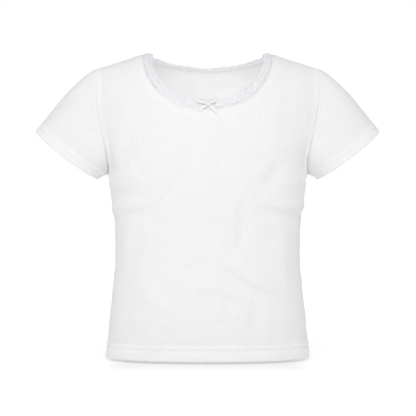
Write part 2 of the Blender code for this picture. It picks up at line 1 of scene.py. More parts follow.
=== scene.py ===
"""A child's white rib-knit T-shirt with short sleeves, a lace-trimmed scoop neck and a small ribbon bow.

Metres, +Z up, the front faces -Y. The shirt keeps the filled-out form of a wearer and stands just over a white
studio floor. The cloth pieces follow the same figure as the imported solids, in finer cloth.
"""

import math
from collections import namedtuple

import bmesh
import bpy
import numpy as np
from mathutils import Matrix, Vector
from mathutils.geometry import delaunay_2d_cdt
from mathutils.kdtree import KDTree


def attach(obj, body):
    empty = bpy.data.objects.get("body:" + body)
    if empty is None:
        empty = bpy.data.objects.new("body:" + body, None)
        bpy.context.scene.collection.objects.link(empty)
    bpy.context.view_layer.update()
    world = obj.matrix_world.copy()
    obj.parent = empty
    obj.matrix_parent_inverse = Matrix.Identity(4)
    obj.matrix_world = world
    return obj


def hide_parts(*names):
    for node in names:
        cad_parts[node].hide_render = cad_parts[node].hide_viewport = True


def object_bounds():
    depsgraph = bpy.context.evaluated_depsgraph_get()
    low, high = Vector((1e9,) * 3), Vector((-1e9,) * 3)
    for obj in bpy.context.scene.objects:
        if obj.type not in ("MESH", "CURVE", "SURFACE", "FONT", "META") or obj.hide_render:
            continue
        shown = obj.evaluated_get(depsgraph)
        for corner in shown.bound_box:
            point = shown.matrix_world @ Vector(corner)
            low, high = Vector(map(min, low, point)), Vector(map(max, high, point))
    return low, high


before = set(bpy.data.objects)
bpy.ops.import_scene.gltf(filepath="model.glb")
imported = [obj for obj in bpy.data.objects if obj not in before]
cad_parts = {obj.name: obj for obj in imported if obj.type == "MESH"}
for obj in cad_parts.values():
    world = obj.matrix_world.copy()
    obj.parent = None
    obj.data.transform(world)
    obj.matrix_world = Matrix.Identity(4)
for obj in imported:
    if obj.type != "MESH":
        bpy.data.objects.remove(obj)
solid_bounds = [list(corner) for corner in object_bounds()]
scene = bpy.context.scene

# ---------------------------------------------------------------- camera, light and floor
# A long lens 2.6 m in front of the shirt, tilted a little down, over a sheet of white paper. A white room lights
# the cloth from all sides, a broad soft box high in front gives the chest its light, and a wide, low lamp hidden in
# the neck opens up the shade inside.

CAMERA_PLACE = Vector((0.00046, -2.6, -0.14))
CAMERA_AIM = Vector((0.00046, 0.0, -0.201))
VIEW_WIDTH = 0.54496
SENSOR_WIDTH = 36.0


def stand(name, data):
    """An object that stands in the scene, made from its data."""
    made = bpy.data.objects.new(name, data)
    scene.collection.objects.link(made)
    return made


def look_from(place, aim):
    """The turn that makes a camera or lamp look from its place to its aim."""
    return (Vector(aim) - Vector(place)).to_track_quat("-Z", "Y").to_euler()


lens = bpy.data.cameras.new("camera")
lens.sensor_width = SENSOR_WIDTH
lens.lens = SENSOR_WIDTH * (CAMERA_AIM - CAMERA_PLACE).length / VIEW_WIDTH
lens.clip_start, lens.clip_end = 0.1, 50.0
camera = stand("camera", lens)
camera.location = CAMERA_PLACE
camera.rotation_euler = look_from(CAMERA_PLACE, CAMERA_AIM)
scene.camera = camera
scene.view_settings.view_transform = "Standard"


def feed(tree, socket, value):
    """Sets a socket to a value, or links it to the socket or the Number that is given."""
    value = getattr(value, "socket", value)
    if isinstance(value, bpy.types.NodeSocket):
        tree.links.new(value, socket)
    else:
        socket.default_value = value


def add_node(tree, kind, sockets, **settings):
    """A node of a kind, with its settings made first and then its sockets fed."""
    made = tree.nodes.new(kind)
    for name, value in settings.items():
        setattr(made, name, value)
    for key, value in sockets.items():
        feed(tree, made.inputs[key], value)
    return made


def grey(light):
    return (light, light, light, 1.0)


ROOM_LIGHT = 0.50  # how much of the backdrop's white the room gives back

room = bpy.data.worlds.new("white_room")
room.use_nodes = True
seen = add_node(room.node_tree, "ShaderNodeLightPath", {}).outputs["Is Camera Ray"]
backdrop = add_node(room.node_tree, "ShaderNodeMath", {0: seen, 1: ROOM_LIGHT}, operation="ADD", use_clamp=True)
wall = room.node_tree.nodes["Background"].inputs
feed(room.node_tree, wall["Color"], grey(1.0))
feed(room.node_tree, wall["Strength"], backdrop.outputs[0])
scene.world = room

SoftBox = namedtuple("SoftBox", "name place aim width height power")
SOFT_BOXES = (
    SoftBox("soft_box_high", (0.0, -1.65, 1.35), (0.0, 0.0, -0.20), 1.2, 1.2, 25.0),
    SoftBox("soft_box_left", (-0.85, -0.95, 0.40), (0.0, 0.0, -0.14), 0.7, 0.7, 0.8),
    SoftBox("lamp_in_the_neck", (0.0, -0.040, -0.056), (0.0, 0.045, -0.024), 0.14, 0.03, 0.054),
)
for box in SOFT_BOXES:
    data = bpy.data.lights.new(box.name, "AREA")
    data.shape, data.size, data.size_y, data.energy = "RECTANGLE", box.width, box.height, box.power
    light = stand(box.name, data)
    light.location = box.place
    light.rotation_euler = look_from(box.place, box.aim)
    light.visible_camera = False


class Finish:
    """A material, and the one way its nodes are added."""

    def __init__(self, name):
        self.material = bpy.data.materials.new(name)
        self.material.use_nodes = True
        self.tree = self.material.node_tree
        self.shader = self.tree.nodes["Principled BSDF"]

    def looks(self, sockets):
        """Feeds the shader's own sockets."""
        for name, value in sockets.items():
            feed(self.tree, self.shader.inputs[name], value)

    def node(self, kind, sockets, **settings):
        return add_node(self.tree, "ShaderNode" + kind, sockets, **settings)

    def maths(self, operation, *values):
        return Number(self, self.node("Math", dict(enumerate(values)), operation=operation).outputs[0])

    def place(self, uv_map):
        """(u, v) on the cloth, in metres."""
        parts = self.node("SeparateXYZ", {0: self.node("UVMap", {}, uv_map=uv_map).outputs[0]})
        return Number(self, parts.outputs[0]), Number(self, parts.outputs[1])

    def given(self, name):
        """The number stored under a name on the piece's points."""
        return Number(self, self.node("Attribute", {}, attribute_name=name).outputs["Fac"])

    def spot(self):
        """The object's own metres."""
        return self.node("TexCoord", {}).outputs["Object"]

    def noise(self, scale, detail=2.0):
        """Noise of about 0 to 1 over the object's own metres."""
        made = self.node("TexNoise", {"Vector": self.spot(), "Scale": scale, "Detail": detail, "Roughness": 0.55})
        return Number(self, made.outputs[0])

    def step(self, value, low, high):
        """0 below low, 1 above high, and a soft step between."""
        made = self.node("MapRange", {0: value, 1: low, 2: high}, interpolation_type="SMOOTHSTEP")
        return Number(self, made.outputs[0])

    def blend(self, share, first, second):
        """One colour turning to another as share goes from 0 to 1."""
        return self.node("Mix", {0: share, 6: first, 7: second}, data_type="RGBA").outputs[2]

    def bump(self, height, distance):
        made = self.node("Bump", {"Height": height, "Distance": distance, "Strength": 1.0})
        self.looks({"Normal": made.outputs[0]})


class Number:
    """A number socket. Arithmetic on it adds Math nodes."""

    def __init__(self, finish, socket):
        self.finish, self.socket = finish, socket

    def __add__(self, other):
        return self.finish.maths("ADD", self, other)

    def __sub__(self, other):
        return self.finish.maths("SUBTRACT", self, other)

    def __rsub__(self, other):
        return self.finish.maths("SUBTRACT", other, self)

    def __mul__(self, other):
        return self.finish.maths("MULTIPLY", self, other)

    __radd__, __rmul__ = __add__, __mul__

    def wave(self):
        return self.finish.maths("SINE", self)

    def size(self):
        return self.finish.maths("ABSOLUTE", self)

    def part(self):
        """What is left of the number above the whole number below it."""
        return self.finish.maths("FRACT", self)


FLOOR_DROP = 0.0030
FLOOR_HALF = 9.0
FLOOR_FRONT = -1.0
PAINTED_SHADOW_Y = -0.1  # the middle of the painted shadow round the shirt
# The paper glows with painted light of its own, so that it stays white where the lamps don't reach, and the glow is
# turned down round the shirt as a painted contact shadow. Each pair gives the distances at which a change of that
# light starts and ends.
GLOW_UNDER, GLOW_NEAR, GLOW_FAR = 0.46, 0.65, 0.86
PAINTED_SHADOW_ASIDE, PAINTED_SHADOW_AHEAD = (0.100, 0.148), (0.070, 0.220)
FAR_OFF = (0.15, 0.75)

level = solid_bounds[0][2] - FLOOR_DROP
paper = Finish("white_paper")
away = paper.node("VectorMath", {0: paper.spot(), 1: (0.0, PAINTED_SHADOW_Y, level)}, operation="DISTANCE").outputs["Value"]
far = paper.step(away, *FAR_OFF)
aside, ahead = (Number(paper, paper.node("SeparateXYZ", {0: paper.spot()}).outputs[k]).size() for k in (0, 1))
# A painted contact shadow: the paper glows less within these distances of the shirt, ahead of it and to its sides
outside_painted_shadow = 1 - (1 - paper.step(aside, *PAINTED_SHADOW_ASIDE)) * (1 - paper.step(ahead, *PAINTED_SHADOW_AHEAD))
paper_glow_with_painted_shadow = far * (GLOW_FAR - GLOW_NEAR) + outside_painted_shadow * (GLOW_NEAR - GLOW_UNDER) + GLOW_UNDER
paper.looks({"Base Color": grey(0.45), "Roughness": 0.95, "Specular IOR Level": 0.1})
paper.looks({"Emission Color": paper_glow_with_painted_shadow, "Emission Strength": 1.0})
sheet_of_paper = bpy.data.meshes.new("floor")
corners = [(-FLOOR_HALF, FLOOR_FRONT), (FLOOR_HALF, FLOOR_FRONT), (FLOOR_HALF, FLOOR_HALF), (-FLOOR_HALF, FLOOR_HALF)]
sheet_of_paper.from_pydata([(x, y, level) for x, y in corners], [], [(0, 1, 2, 3)])
sheet_of_paper.materials.append(paper.material)
stand("floor", sheet_of_paper)

# ---------------------------------------------------------------- front and back
# Two cut pieces of fine cotton rib with a little elastane: white, matt and soft, filled out by a child's figure.
# Their side edges and shoulders are sewn together, the bottom is turned up for a hem of 2 cm, and the neck edge is
# turned in under the lace.

RIBS_ACROSS_PANEL = 76
RIB_HEIGHT = 0.00032
STITCHES_IN_RIB = 4
CLOTH_HALF = 0.170
RIB_PITCH = 2 * CLOTH_HALF / RIBS_ACROSS_PANEL
COURSE = 0.0009  # the height of one row of stitches

# Each rib is four columns of stitches wide, and every stitch is a small V. The colour is whiter where the cloth lies
# double, and it carries painted light: lighter on the hem, the seam ridges and the neck roll, darker on the sleeves
knit = Finish("rib_knit_white")
u, v = knit.place("cloth")
from_middle = ((u * (STITCHES_IN_RIB / RIB_PITCH)).part() - 0.5).size()
legs = (from_middle * (2 * math.pi)).wave()
courses = ((v * (1 / COURSE) + from_middle * 1.6) * (2 * math.pi)).wave()
fuzz = knit.noise(scale=2600.0, detail=3.0)
knit.bump(legs * (courses * 0.35 + 0.65) * 0.7 + fuzz * 0.3, distance=0.00009)
mottle = knit.noise(scale=38.0) * 0.6 + knit.noise(scale=420.0) * 0.4
tone_and_painted_light = (mottle + knit.given("doubled_and_painted_light") + 1) * 0.333
knit.looks({"Base Color": knit.blend(tone_and_painted_light, grey(0.782), grey(0.872)), "Roughness": mottle * 0.10 + 0.84})
knit.looks({"Specular IOR Level": 0.25, "Sheen Weight": 0.25, "Sheen Roughness": 0.35})


def unit(vectors):
    vectors = np.asarray(vectors, float)
    return vectors / np.linalg.norm(vectors, axis=-1, keepdims=True)


def smooth(value, low, high):
    """0 below low, 1 above high, and a soft step between."""
    t = np.clip((np.asarray(value, float) - low) / (high - low), 0.0, 1.0)
    return t * t * (3 - 2 * t)


def hump(value, width):
    return np.exp(-((np.asarray(value, float) / width) ** 2))


def finished_piece(name, mesh):
    piece = stand(name, mesh)
    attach(piece, "root")
    return piece


def add_piece(name, points, faces, finish, places, girth=None, doubled_and_painted_light=None, folded=None):
    """A closed piece of the shirt from points and faces. places are its points' places on the cloth, and girth is
    the length after which they start again on a piece that closes on itself. The whitening values make the finish
    whiter: 1 where the cloth lies double, with painted light added on the hem, the seam ridges, the neck roll and
    the lace, and below 0 where painted shade darkens it, as on the sleeves. folded marks the points of edges that
    are turned in sharply."""
    mesh = bpy.data.meshes.new(name)
    mesh.from_pydata(np.asarray(points).tolist(), [], faces)
    shape = bmesh.new()
    shape.from_mesh(mesh)
    bmesh.ops.recalc_face_normals(shape, faces=shape.faces)
    shape.to_mesh(mesh)
    shape.free()
    corner_points = np.empty(len(mesh.loops), dtype=np.int32)
    mesh.loops.foreach_get("vertex_index", corner_points)
    corner_places = np.asarray(places, float)[corner_points]
    if girth is not None:
        starts = np.array([face.loop_start for face in mesh.polygons])
        sizes = np.diff(np.append(starts, len(corner_points)))
        furthest = np.repeat(np.maximum.reduceat(corner_places[:, 0], starts), sizes)
        corner_places[:, 0] += np.where(furthest - corner_places[:, 0] > girth / 2, girth, 0.0)
    mesh.uv_layers.new(name="cloth").data.foreach_set("uv", corner_places.astype(np.float32).ravel())
    mesh.shade_smooth()
    if doubled_and_painted_light is not None:
        mesh.attributes.new("doubled_and_painted_light", "FLOAT", "POINT").data.foreach_set("value", doubled_and_painted_light.astype(np.float32))
    if folded is not None:
        ends = np.empty(2 * len(mesh.edges), dtype=np.int32)
        mesh.edges.foreach_get("vertices", ends)
        sharp = folded[ends.reshape(-1, 2)].all(axis=1)
        mesh.attributes.new("sharp_edge", "BOOLEAN", "EDGE").data.foreach_set("value", sharp)
    mesh.materials.append(finish.material)
    return finished_piece(name, mesh)


FRONT, BACK = -1, 1
WALL = 0.0012
HEM_HEIGHT = -0.3955
ARMPIT_HEIGHT = -0.156
SHOULDER_SLOPE = 0.335
SHOULDER_HALF = 0.146
NECK_HALF = 0.084
NECK_ROUND = 0.020
ROUNDNESS = 2.3  # of the figure's level sections: 2 is an ellipse
CLIMB_TOP = 0.180  # the cloth's length from the line between the armpits up to the shoulder seam
ARMHOLE_ACROSS = 0.83  # how far across the cloth the armhole meets the shoulder, where 1 is the side seam
UNDERARM_RISE = 0.30  # the share of the rise over which the armhole turns in from the side seam
SHOULDER_SPREAD = SHOULDER_HALF / ARMHOLE_ACROSS
NECK_DROP = {FRONT: 0.0732, BACK: 0.0200}
NECK_ROUNDNESS = {FRONT: 2.12, BACK: 1.6}
NUDGE = 1e-4  # the small move along the cloth that finds its slope

Section = namedtuple("Section", "height half_width front back")
TORSO = (
    Section(-0.3955, 0.1330, 0.0790, 0.0770),
    Section(-0.3490, 0.1284, 0.0768, 0.0745),
    Section(-0.3070, 0.1240, 0.0735, 0.0715),
    Section(-0.2550, 0.1205, 0.0715, 0.0690),
    Section(-0.2125, 0.1226, 0.0735, 0.0700),
    Section(-0.1815, 0.1268, 0.0765, 0.0720),
    Section(-0.1560, 0.1305, 0.0780, 0.0735),
)

# Creases, as the front or back view shows them in millimetres. Each runs along a path between a ridge on its
# left and a trough on its right. The depth is that from the ridge to the trough.
Crease = namedtuple("Crease", "facing width depth path")
CREASES = (
    Crease(FRONT, 9.0, 3.8, ((-140, -213), (-117, -208), (-95, -201), (-62, -196))),
    Crease(FRONT, 5.0, 1.8, ((-72, -200), (-54, -184), (-46, -170), (-39, -156), (-24, -130))),
    Crease(FRONT, 10.0, 5.0, ((62, -190), (82, -201), (98, -205), (116, -204), (142, -208))),
    Crease(FRONT, 13.0, 3.9, ((64, -172), (78, -157), (86, -136))),
    Crease(FRONT, 9.0, 2.1, ((72, -113), (98, -121), (130, -126))),
    Crease(FRONT, 11.0, 2.4, ((-119, -156), (-111, -126), (-106, -94))),
    Crease(FRONT, 6.5, 1.1, ((-78, -170), (-90, -156), (-104, -138))),
    Crease(FRONT, 9.5, 3.8, ((38, -256), (38, -214), (36, -172))),
    Crease(FRONT, 10.0, 4.4, ((6, -262), (26, -277), (40, -288), (56, -298), (70, -305), (84, -310), (106, -309))),
    Crease(FRONT, 9.0, 2.2, ((-14, -302), (22, -310), (38, -318), (62, -327))),
    Crease(FRONT, 8.5, 2.6, ((15, -350), (20, -330), (24, -308))),
    Crease(FRONT, 10.5, 3.0, ((48, -360), (56, -336), (48, -312))),
    Crease(FRONT, 9.5, 2.2, ((54, -341), (84, -346), (122, -354))),
    Crease(FRONT, 7.5, 1.2, ((-16, -370), (12, -369), (40, -361))),
    Crease(FRONT, 10.0, 1.3, ((-62, -318), (-72, -290), (-88, -262))),
    Crease(FRONT, 9.0, 1.7, ((-90, -315), (-68, -326), (-42, -333))),
    Crease(FRONT, 9.5, 1.7, ((-78, -346), (-50, -356), (-18, -352))),
    Crease(FRONT, 6.5, 1.2, ((-36, -279), (-14, -267), (8, -251))),
    Crease(FRONT, 10.0, 2.0, ((103, -306), (105, -262), (102, -222))),
    Crease(FRONT, 10.5, 1.4, ((-100, -278), (-102, -246), (-96, -214))),
    Crease(FRONT, 8.5, 1.0, ((-50, -313), (-22, -308), (4, -308))),
    Crease(FRONT, 7.5, 0.8, ((-58, -371), (-28, -372), (0, -371))),
    Crease(FRONT, 12.0, 1.4, ((-104, -350), (-84, -362), (-62, -378))),
    Crease(FRONT, 18.0, 3.4, ((34, -133), (88, -135), (138, -140))),
    Crease(FRONT, 16.0, 2.4, ((-140, -180), (-105, -176), (-62, -172))),
    Crease(BACK, 7.8, 2.2, ((-136, -210), (-98, -218), (-56, -230))),
    Crease(BACK, 7.8, 2.4, ((40, -230), (92, -211), (136, -202))),
    Crease(BACK, 7.2, 2.1, ((6, -328), (50, -302), (86, -284))),
    Crease(BACK, 5.2, 1.1, ((28, -150), (44, -180), (62, -206))),
    Crease(BACK, 9.1, 2.0, ((-44, -328), (-52, -290), (-74, -254))),
    Crease(BACK, 10.4, 2.9, ((-92, -172), (-108, -146), (-112, -112))),
    Crease(BACK, 10.4, 2.9, ((104, -110), (94, -142), (78, -166))),
    Crease(BACK, 7.8, 1.4, ((-36, -74), (8, -82), (52, -72))),
    Crease(BACK, 9.1, 1.7, ((14, -264), (22, -226), (14, -188))),
    Crease(BACK, 7.2, 1.4, ((-44, -346), (-8, -358), (24, -354))),
    Crease(BACK, 7.8, 1.2, ((-34, -144), (-38, -118), (-26, -94))),
    Crease(BACK, 9.1, 1.5, ((62, -336), (84, -348), (112, -352))),
)
RIDGE_TO_TROUGH = 0.858  # of a crease of depth 1, before it is scaled
# Slight waves that the cloth has all over: a height, and two waves that cross. Each of the two has its turns along x
# and z, its start, and how far that start differs between front and back. Millimetres.
WAVES = (
    (0.34, (0.041, 0.023, 0.0, 0.7), (-0.011, 0.037, 2.1, 0.0)),
    (0.42, (0.093, -0.061, 1.3, 0.0), (0.037, 0.079, 0.0, 1.0)),
    (0.26, (0.171, 0.113, 0.0, 0.0), (-0.087, 0.149, 0.4, 0.0)),
)
# The hollow under each arm: its place and half size as the front shows it, and its pull inwards, in depth and up
HOLLOW_X, HOLLOW_Z = 0.1265, -0.150
HOLLOW_WIDE, HOLLOW_TALL = 0.0080, 0.020
HOLLOW_PULL = (0.0015, 0.0072, 0.0010)


def eased(t, start, leaving, end, arriving):
    """A smooth curve from start to end as t goes from 0 to 1, with its slopes at both ends."""
    return (
        (2 * t**3 - 3 * t**2 + 1) * start
        + (t**3 - 2 * t**2 + t) * leaving
        + (3 * t**2 - 2 * t**3) * end
        + (t**3 - t**2) * arriving
    )


def section_value(column, height):
    """A column of TORSO at any height, on a smooth curve through its rows."""
    heights = np.array([row.height for row in TORSO])
    values = np.array([getattr(row, column) for row in TORSO])
    slopes = np.gradient(values, heights)
    height = np.clip(height, heights[0], heights[-1])
    low = np.clip(np.searchsorted(heights, height) - 1, 0, len(heights) - 2)
    span = heights[low + 1] - heights[low]
    t = (height - heights[low]) / span
    return eased(t, values[low], span * slopes[low], values[low + 1], span * slopes[low + 1])


# The length run along a level section at the armpits, by which across is measured
ring_turns = np.linspace(0.0, math.pi / 2, 1201)
ring_x = TORSO[-1].half_width * np.sin(ring_turns) ** (2 / ROUNDNESS)
ring_y = (TORSO[-1].front + TORSO[-1].back) / 2 * np.cos(ring_turns) ** (2 / ROUNDNESS)
ring_shares = np.concatenate([[0.0], np.cumsum(np.hypot(np.diff(ring_x), np.diff(ring_y)))])
ring_shares /= ring_shares[-1]


def ridge_height(x):
    """The shoulder line's height at a distance x from the centre."""
    return -SHOULDER_SLOPE * (np.hypot(x, NECK_ROUND) - math.hypot(NECK_HALF, NECK_ROUND))


def form(across, climb, facing):
    """Where the cloth lies on the figure. across is 0 at the centre line and 1 at the side seam, and climb is
    the distance above the line between the armpits."""
    across, climb = np.broadcast_arrays(np.asarray(across, float), np.asarray(climb, float))
    reach = np.clip(np.abs(across), 0.0, 1.0)
    height = ARMPIT_HEIGHT + np.minimum(climb, 0.0)
    turn = np.interp(reach, ring_shares, ring_turns)
    level_x = section_value("half_width", height) * np.sin(turn) ** (2 / ROUNDNESS)
    level_y = section_value("front" if facing == FRONT else "back", height) * np.cos(turn) ** (2 / ROUNDNESS)
    rise = np.sin(np.clip(climb / CLIMB_TOP, 0.0, 1.0) * math.pi / 2)
    ridge_x = SHOULDER_SPREAD * reach
    x = level_x + (ridge_x - level_x) * (1 - (1 - rise) ** 2.5) ** 1.5
    z = height + (ridge_height(ridge_x) - ARMPIT_HEIGHT) * rise
    y = level_y * (1 - rise**ROUNDNESS) ** (1 / ROUNDNESS)
    return np.stack([np.sign(across) * x, facing * y, z], axis=-1)


def outward(across, climb, facing):
    """The way out of the cloth's face."""
    across, climb = np.broadcast_arrays(np.asarray(across, float), np.asarray(climb, float))
    right, left = np.minimum(across + NUDGE, 1), np.maximum(across - NUDGE, -1)
    sideways = form(right, climb, facing) - form(left, climb, facing)
    upwards = form(across, np.minimum(climb + NUDGE, CLIMB_TOP), facing) - form(across, climb - NUDGE, facing)
    return unit(np.cross(sideways, upwards) * -facing)


def soft_cornered(path):
    """A path with its corners cut off twice."""
    path = np.array(path, float)
    for _ in range(2):
        first, last = path[:-1] * 0.75 + path[1:] * 0.25, path[:-1] * 0.25 + path[1:] * 0.75
        path = np.concatenate([path[:1], np.stack([first, last], axis=1).reshape(-1, 2)[1:-1], path[-1:]])
    return path


def creased(points, facing):
    """How far the creases and the cloth's own slight waves lift each point."""
    x, z = points[:, 0] * 1000, points[:, 2] * 1000
    lift = np.zeros(len(points))
    for crease in CREASES:
        if crease.facing != facing:
            continue
        path = soft_cornered(crease.path)
        lengths = np.linalg.norm(np.diff(path, axis=0), axis=1)
        whole, passed = lengths.sum(), 0.0
        nearest = np.full(len(points), np.inf)
        side, share = np.zeros(len(points)), np.zeros(len(points))
        for start, end, length in zip(path, path[1:], lengths):
            along = (end - start) / length
            offset = np.stack([x, z], axis=1) - start
            run = np.clip(offset @ along, 0.0, length)
            away = np.linalg.norm(offset - run[:, None] * along, axis=1)
            closer = away < nearest
            nearest = np.where(closer, away, nearest)
            side = np.where(closer, np.sign(offset @ np.array([-along[1], along[0]])), side)
            share = np.where(closer, (passed + run) / whole, share)
            passed += length
        taper = smooth(share, 0.0, 0.3) * (1 - smooth(share, 0.6, 1.0))
        across = side * nearest / crease.width
        lift += crease.depth / RIDGE_TO_TROUGH * taper * across * np.exp(-(across**2))
    for height, *pair in WAVES:
        one, other = (np.sin(by_x * x + by_z * z + start + shift * facing) for by_x, by_z, start, shift in pair)
        lift += height * one * other
    return lift / 1000


def pulled_in(points):
    """Points with the cloth drawn in under the arms, where the sleeve's seam meets the side seam."""
    x, y, z = points[..., 0], points[..., 1], points[..., 2]
    share = hump(np.abs(x) - HOLLOW_X, HOLLOW_WIDE) * hump(z - HOLLOW_Z, HOLLOW_TALL)
    inwards, deep, up = HOLLOW_PULL
    shift = np.stack([-np.sign(x) * inwards, -y / (np.abs(y) + 0.008) * deep, np.full_like(x, up)], axis=-1)
    return points + share[..., None] * shift


def climb_at(rise):
    """The climb at a share of the height from the armpits to the shoulder line."""
    return CLIMB_TOP * np.arcsin(rise) * 2 / math.pi


def armhole(facing, shares):
    """(across, climb) at shares of the armhole's length, from 0 at the armpit to 1 at the shoulder."""
    rise = np.linspace(0.0, 1.0, 1501) ** 2
    low = np.clip(rise / UNDERARM_RISE, 0.0, 1.0)
    across = 1 - (1 - ARMHOLE_ACROSS) * np.sqrt(1 - (1 - low) ** 2)
    climb = climb_at(rise)
    steps = np.linalg.norm(np.diff(form(across, climb, facing), axis=0), axis=1)
    run = np.concatenate([[0.0], np.cumsum(steps)])
    return np.interp(shares, run / run[-1], across), np.interp(shares, run / run[-1], climb)


def seen_at(facing, x, z):
    """(across, climb) of the points above the armpit that the front view shows at x and z, found step by step."""
    across = x / SHOULDER_SPREAD
    for _ in range(40):
        top = ridge_height(SHOULDER_SPREAD * across)
        climb = climb_at(np.clip((z - ARMPIT_HEIGHT) / (top - ARMPIT_HEIGHT), 0.0, 1.0))
        across = across + (x - form(across, climb, facing)[..., 0]) / SHOULDER_SPREAD
    return across, climb


def neck_edge(facing, bearings):
    """(across, climb) of the neck edge, from bearing 0 at the centre line to a right angle at the shoulder."""
    power = 2 / NECK_ROUNDNESS[facing]
    aim_x = NECK_HALF * np.sin(bearings) ** power
    aim_z = -NECK_DROP[facing] * np.clip(np.cos(bearings), 0.0, 1.0) ** power
    return seen_at(facing, aim_x, aim_z)


HEM = HEM_HEIGHT - ARMPIT_HEIGHT
HEM_LINES = (0.0145, 0.0205)
HEM_ROWS = (0.0007, 0.0022, 0.0045, 0.0072, 0.0098, 0.0119, 0.0133, 0.0145)
HEM_ROWS += (0.0157, 0.0169, 0.0181, 0.0193, 0.0205, 0.0217, 0.0232)
SEWN_EDGE_ROWS = (0.0004, 0.0010, 0.0018, 0.0028, 0.0040, 0.0054)
ROW_STEP = 0.0024
COLUMNS = 2 * RIBS_ACROSS_PANEL
ROWS_SHORT = 0.0008, 0.0010  # how far below the armpits and the shoulders the level rows end
ABOVE_ARMPIT = 0.0002
ARMHOLE_POINTS, SHOULDER_POINTS, NECK_POINTS = 131, 40, 111
DRAWN_TOGETHER = 0.48  # of the rows, so that the triangles follow the ribs
HEM_FOLD_INSIDE = 0.00055  # how far the turned-up edge stands in
RIB_INSIDE = 0.00014
UNDER_ARM_CLIMB = (0.010, 0.075)  # up to where the armhole seam is wholly pulled in, and where it no longer is
CLEAR_FINE, CLEAR_COARSE = 0.00062, 0.0014  # the least distance from the outline to the points in rows
CLEAR_ROWS = 0.0006  # and from the last row beside a sewn edge

lower_rows = [HEM + row for row in HEM_ROWS]
lower_rows += list(np.arange(HEM + HEM_ROWS[-1] + ROW_STEP, -ROWS_SHORT[0], ROW_STEP))
all_rows = np.array(lower_rows + list(np.arange(0.0, CLIMB_TOP - ROWS_SHORT[1], ROW_STEP)))


def panel_outline(facing):
    """(a panel's outline on the cloth, anticlockwise from the hem's centre, the armhole, the neck edge)."""
    points = [(i / COLUMNS, HEM) for i in range(COLUMNS + 1)]
    points += [(1.0, row) for row in lower_rows]
    hole = list(zip(*armhole(facing, np.linspace(0.0, 1.0, ARMHOLE_POINTS))))
    neck = list(zip(*neck_edge(facing, np.linspace(math.pi / 2, 0.0, NECK_POINTS))))
    shoulder = np.linspace(ARMHOLE_ACROSS, neck[0][0], SHOULDER_POINTS)[1:-1]
    points += hole + [(a, CLIMB_TOP) for a in shoulder] + neck
    mirrored = [(-a, c) for a, c in reversed(points[1:-1])]
    neck += [(-a, c) for a, c in reversed(neck[:-1])]
    return np.array(points + mirrored), np.array(hole), np.array(neck)


def along_sewn_edges(outline):
    """Points in rows beside the armholes, shoulders and neck, so that the seams have clean shapes."""
    flat = on_cloth(outline)
    following, before = np.roll(flat, -1, axis=0), np.roll(flat, 1, axis=0)
    inwards = unit(following - before)[:, ::-1] * np.array([-1.0, 1.0])
    sewn = outline[:, 1] > ABOVE_ARMPIT
    rows = []
    for distance in SEWN_EDGE_ROWS:
        row = (flat + inwards * distance)[sewn] / np.array([CLOTH_HALF, 1.0])
        row = row[inside(row, outline)]
        rows.append(row[away_from(row, outline) > distance * 0.85])
    return np.concatenate(rows)


def on_cloth(points):
    return np.asarray(points) * np.array([CLOTH_HALF, 1.0])


def away_from(points, path):
    """The distance on the cloth from each point to the nearest point of a path."""
    path = on_cloth(path)
    path = np.concatenate([path[:-1] + (path[1:] - path[:-1]) * k / 6 for k in range(6)])
    tree = KDTree(len(path))
    for i, (px, py) in enumerate(path):
        tree.insert((px, py, 0.0), i)
    tree.balance()
    return np.array([tree.find((px, py, 0.0))[2] for px, py in on_cloth(points)])


def inside(points, outline):
    """Whether each point lies within a closed outline."""
    x, y = points[:, 0], points[:, 1]
    crossings = np.zeros(len(points), dtype=int)
    for (x0, y0), (x1, y1) in zip(outline, np.roll(outline, -1, axis=0)):
        if y0 != y1:
            crossings += ((y0 > y) != (y1 > y)) & (x < x0 + (y - y0) * (x1 - x0) / (y1 - y0))
    return crossings % 2 == 1


def triangles(outline, within):
    points = np.concatenate([outline, within]) * np.array([CLOTH_HALF, DRAWN_TOGETHER])
    _, _, faces, sources, _, _ = delaunay_2d_cdt(
        [tuple(p) for p in points], [], [list(range(len(outline)))], 1, 1e-8
    )
    return [[sources[corner][0] for corner in face] for face in faces]


def ribs(columns):
    """The height of the ribs at columns of stitches, counted from the middle of a rib."""
    return RIB_HEIGHT * (0.5 + 0.5 * np.cos(columns * math.pi / 2)) ** 0.7


Line = namedtuple("Line", "rise share distance centre width")


def along_lines(*lines):
    """The height of narrow ridges and grooves on the cloth. Each rises by its share, at a distance from an edge."""
    return sum(line.rise * line.share * hump(line.distance - line.centre, line.width) for line in lines)


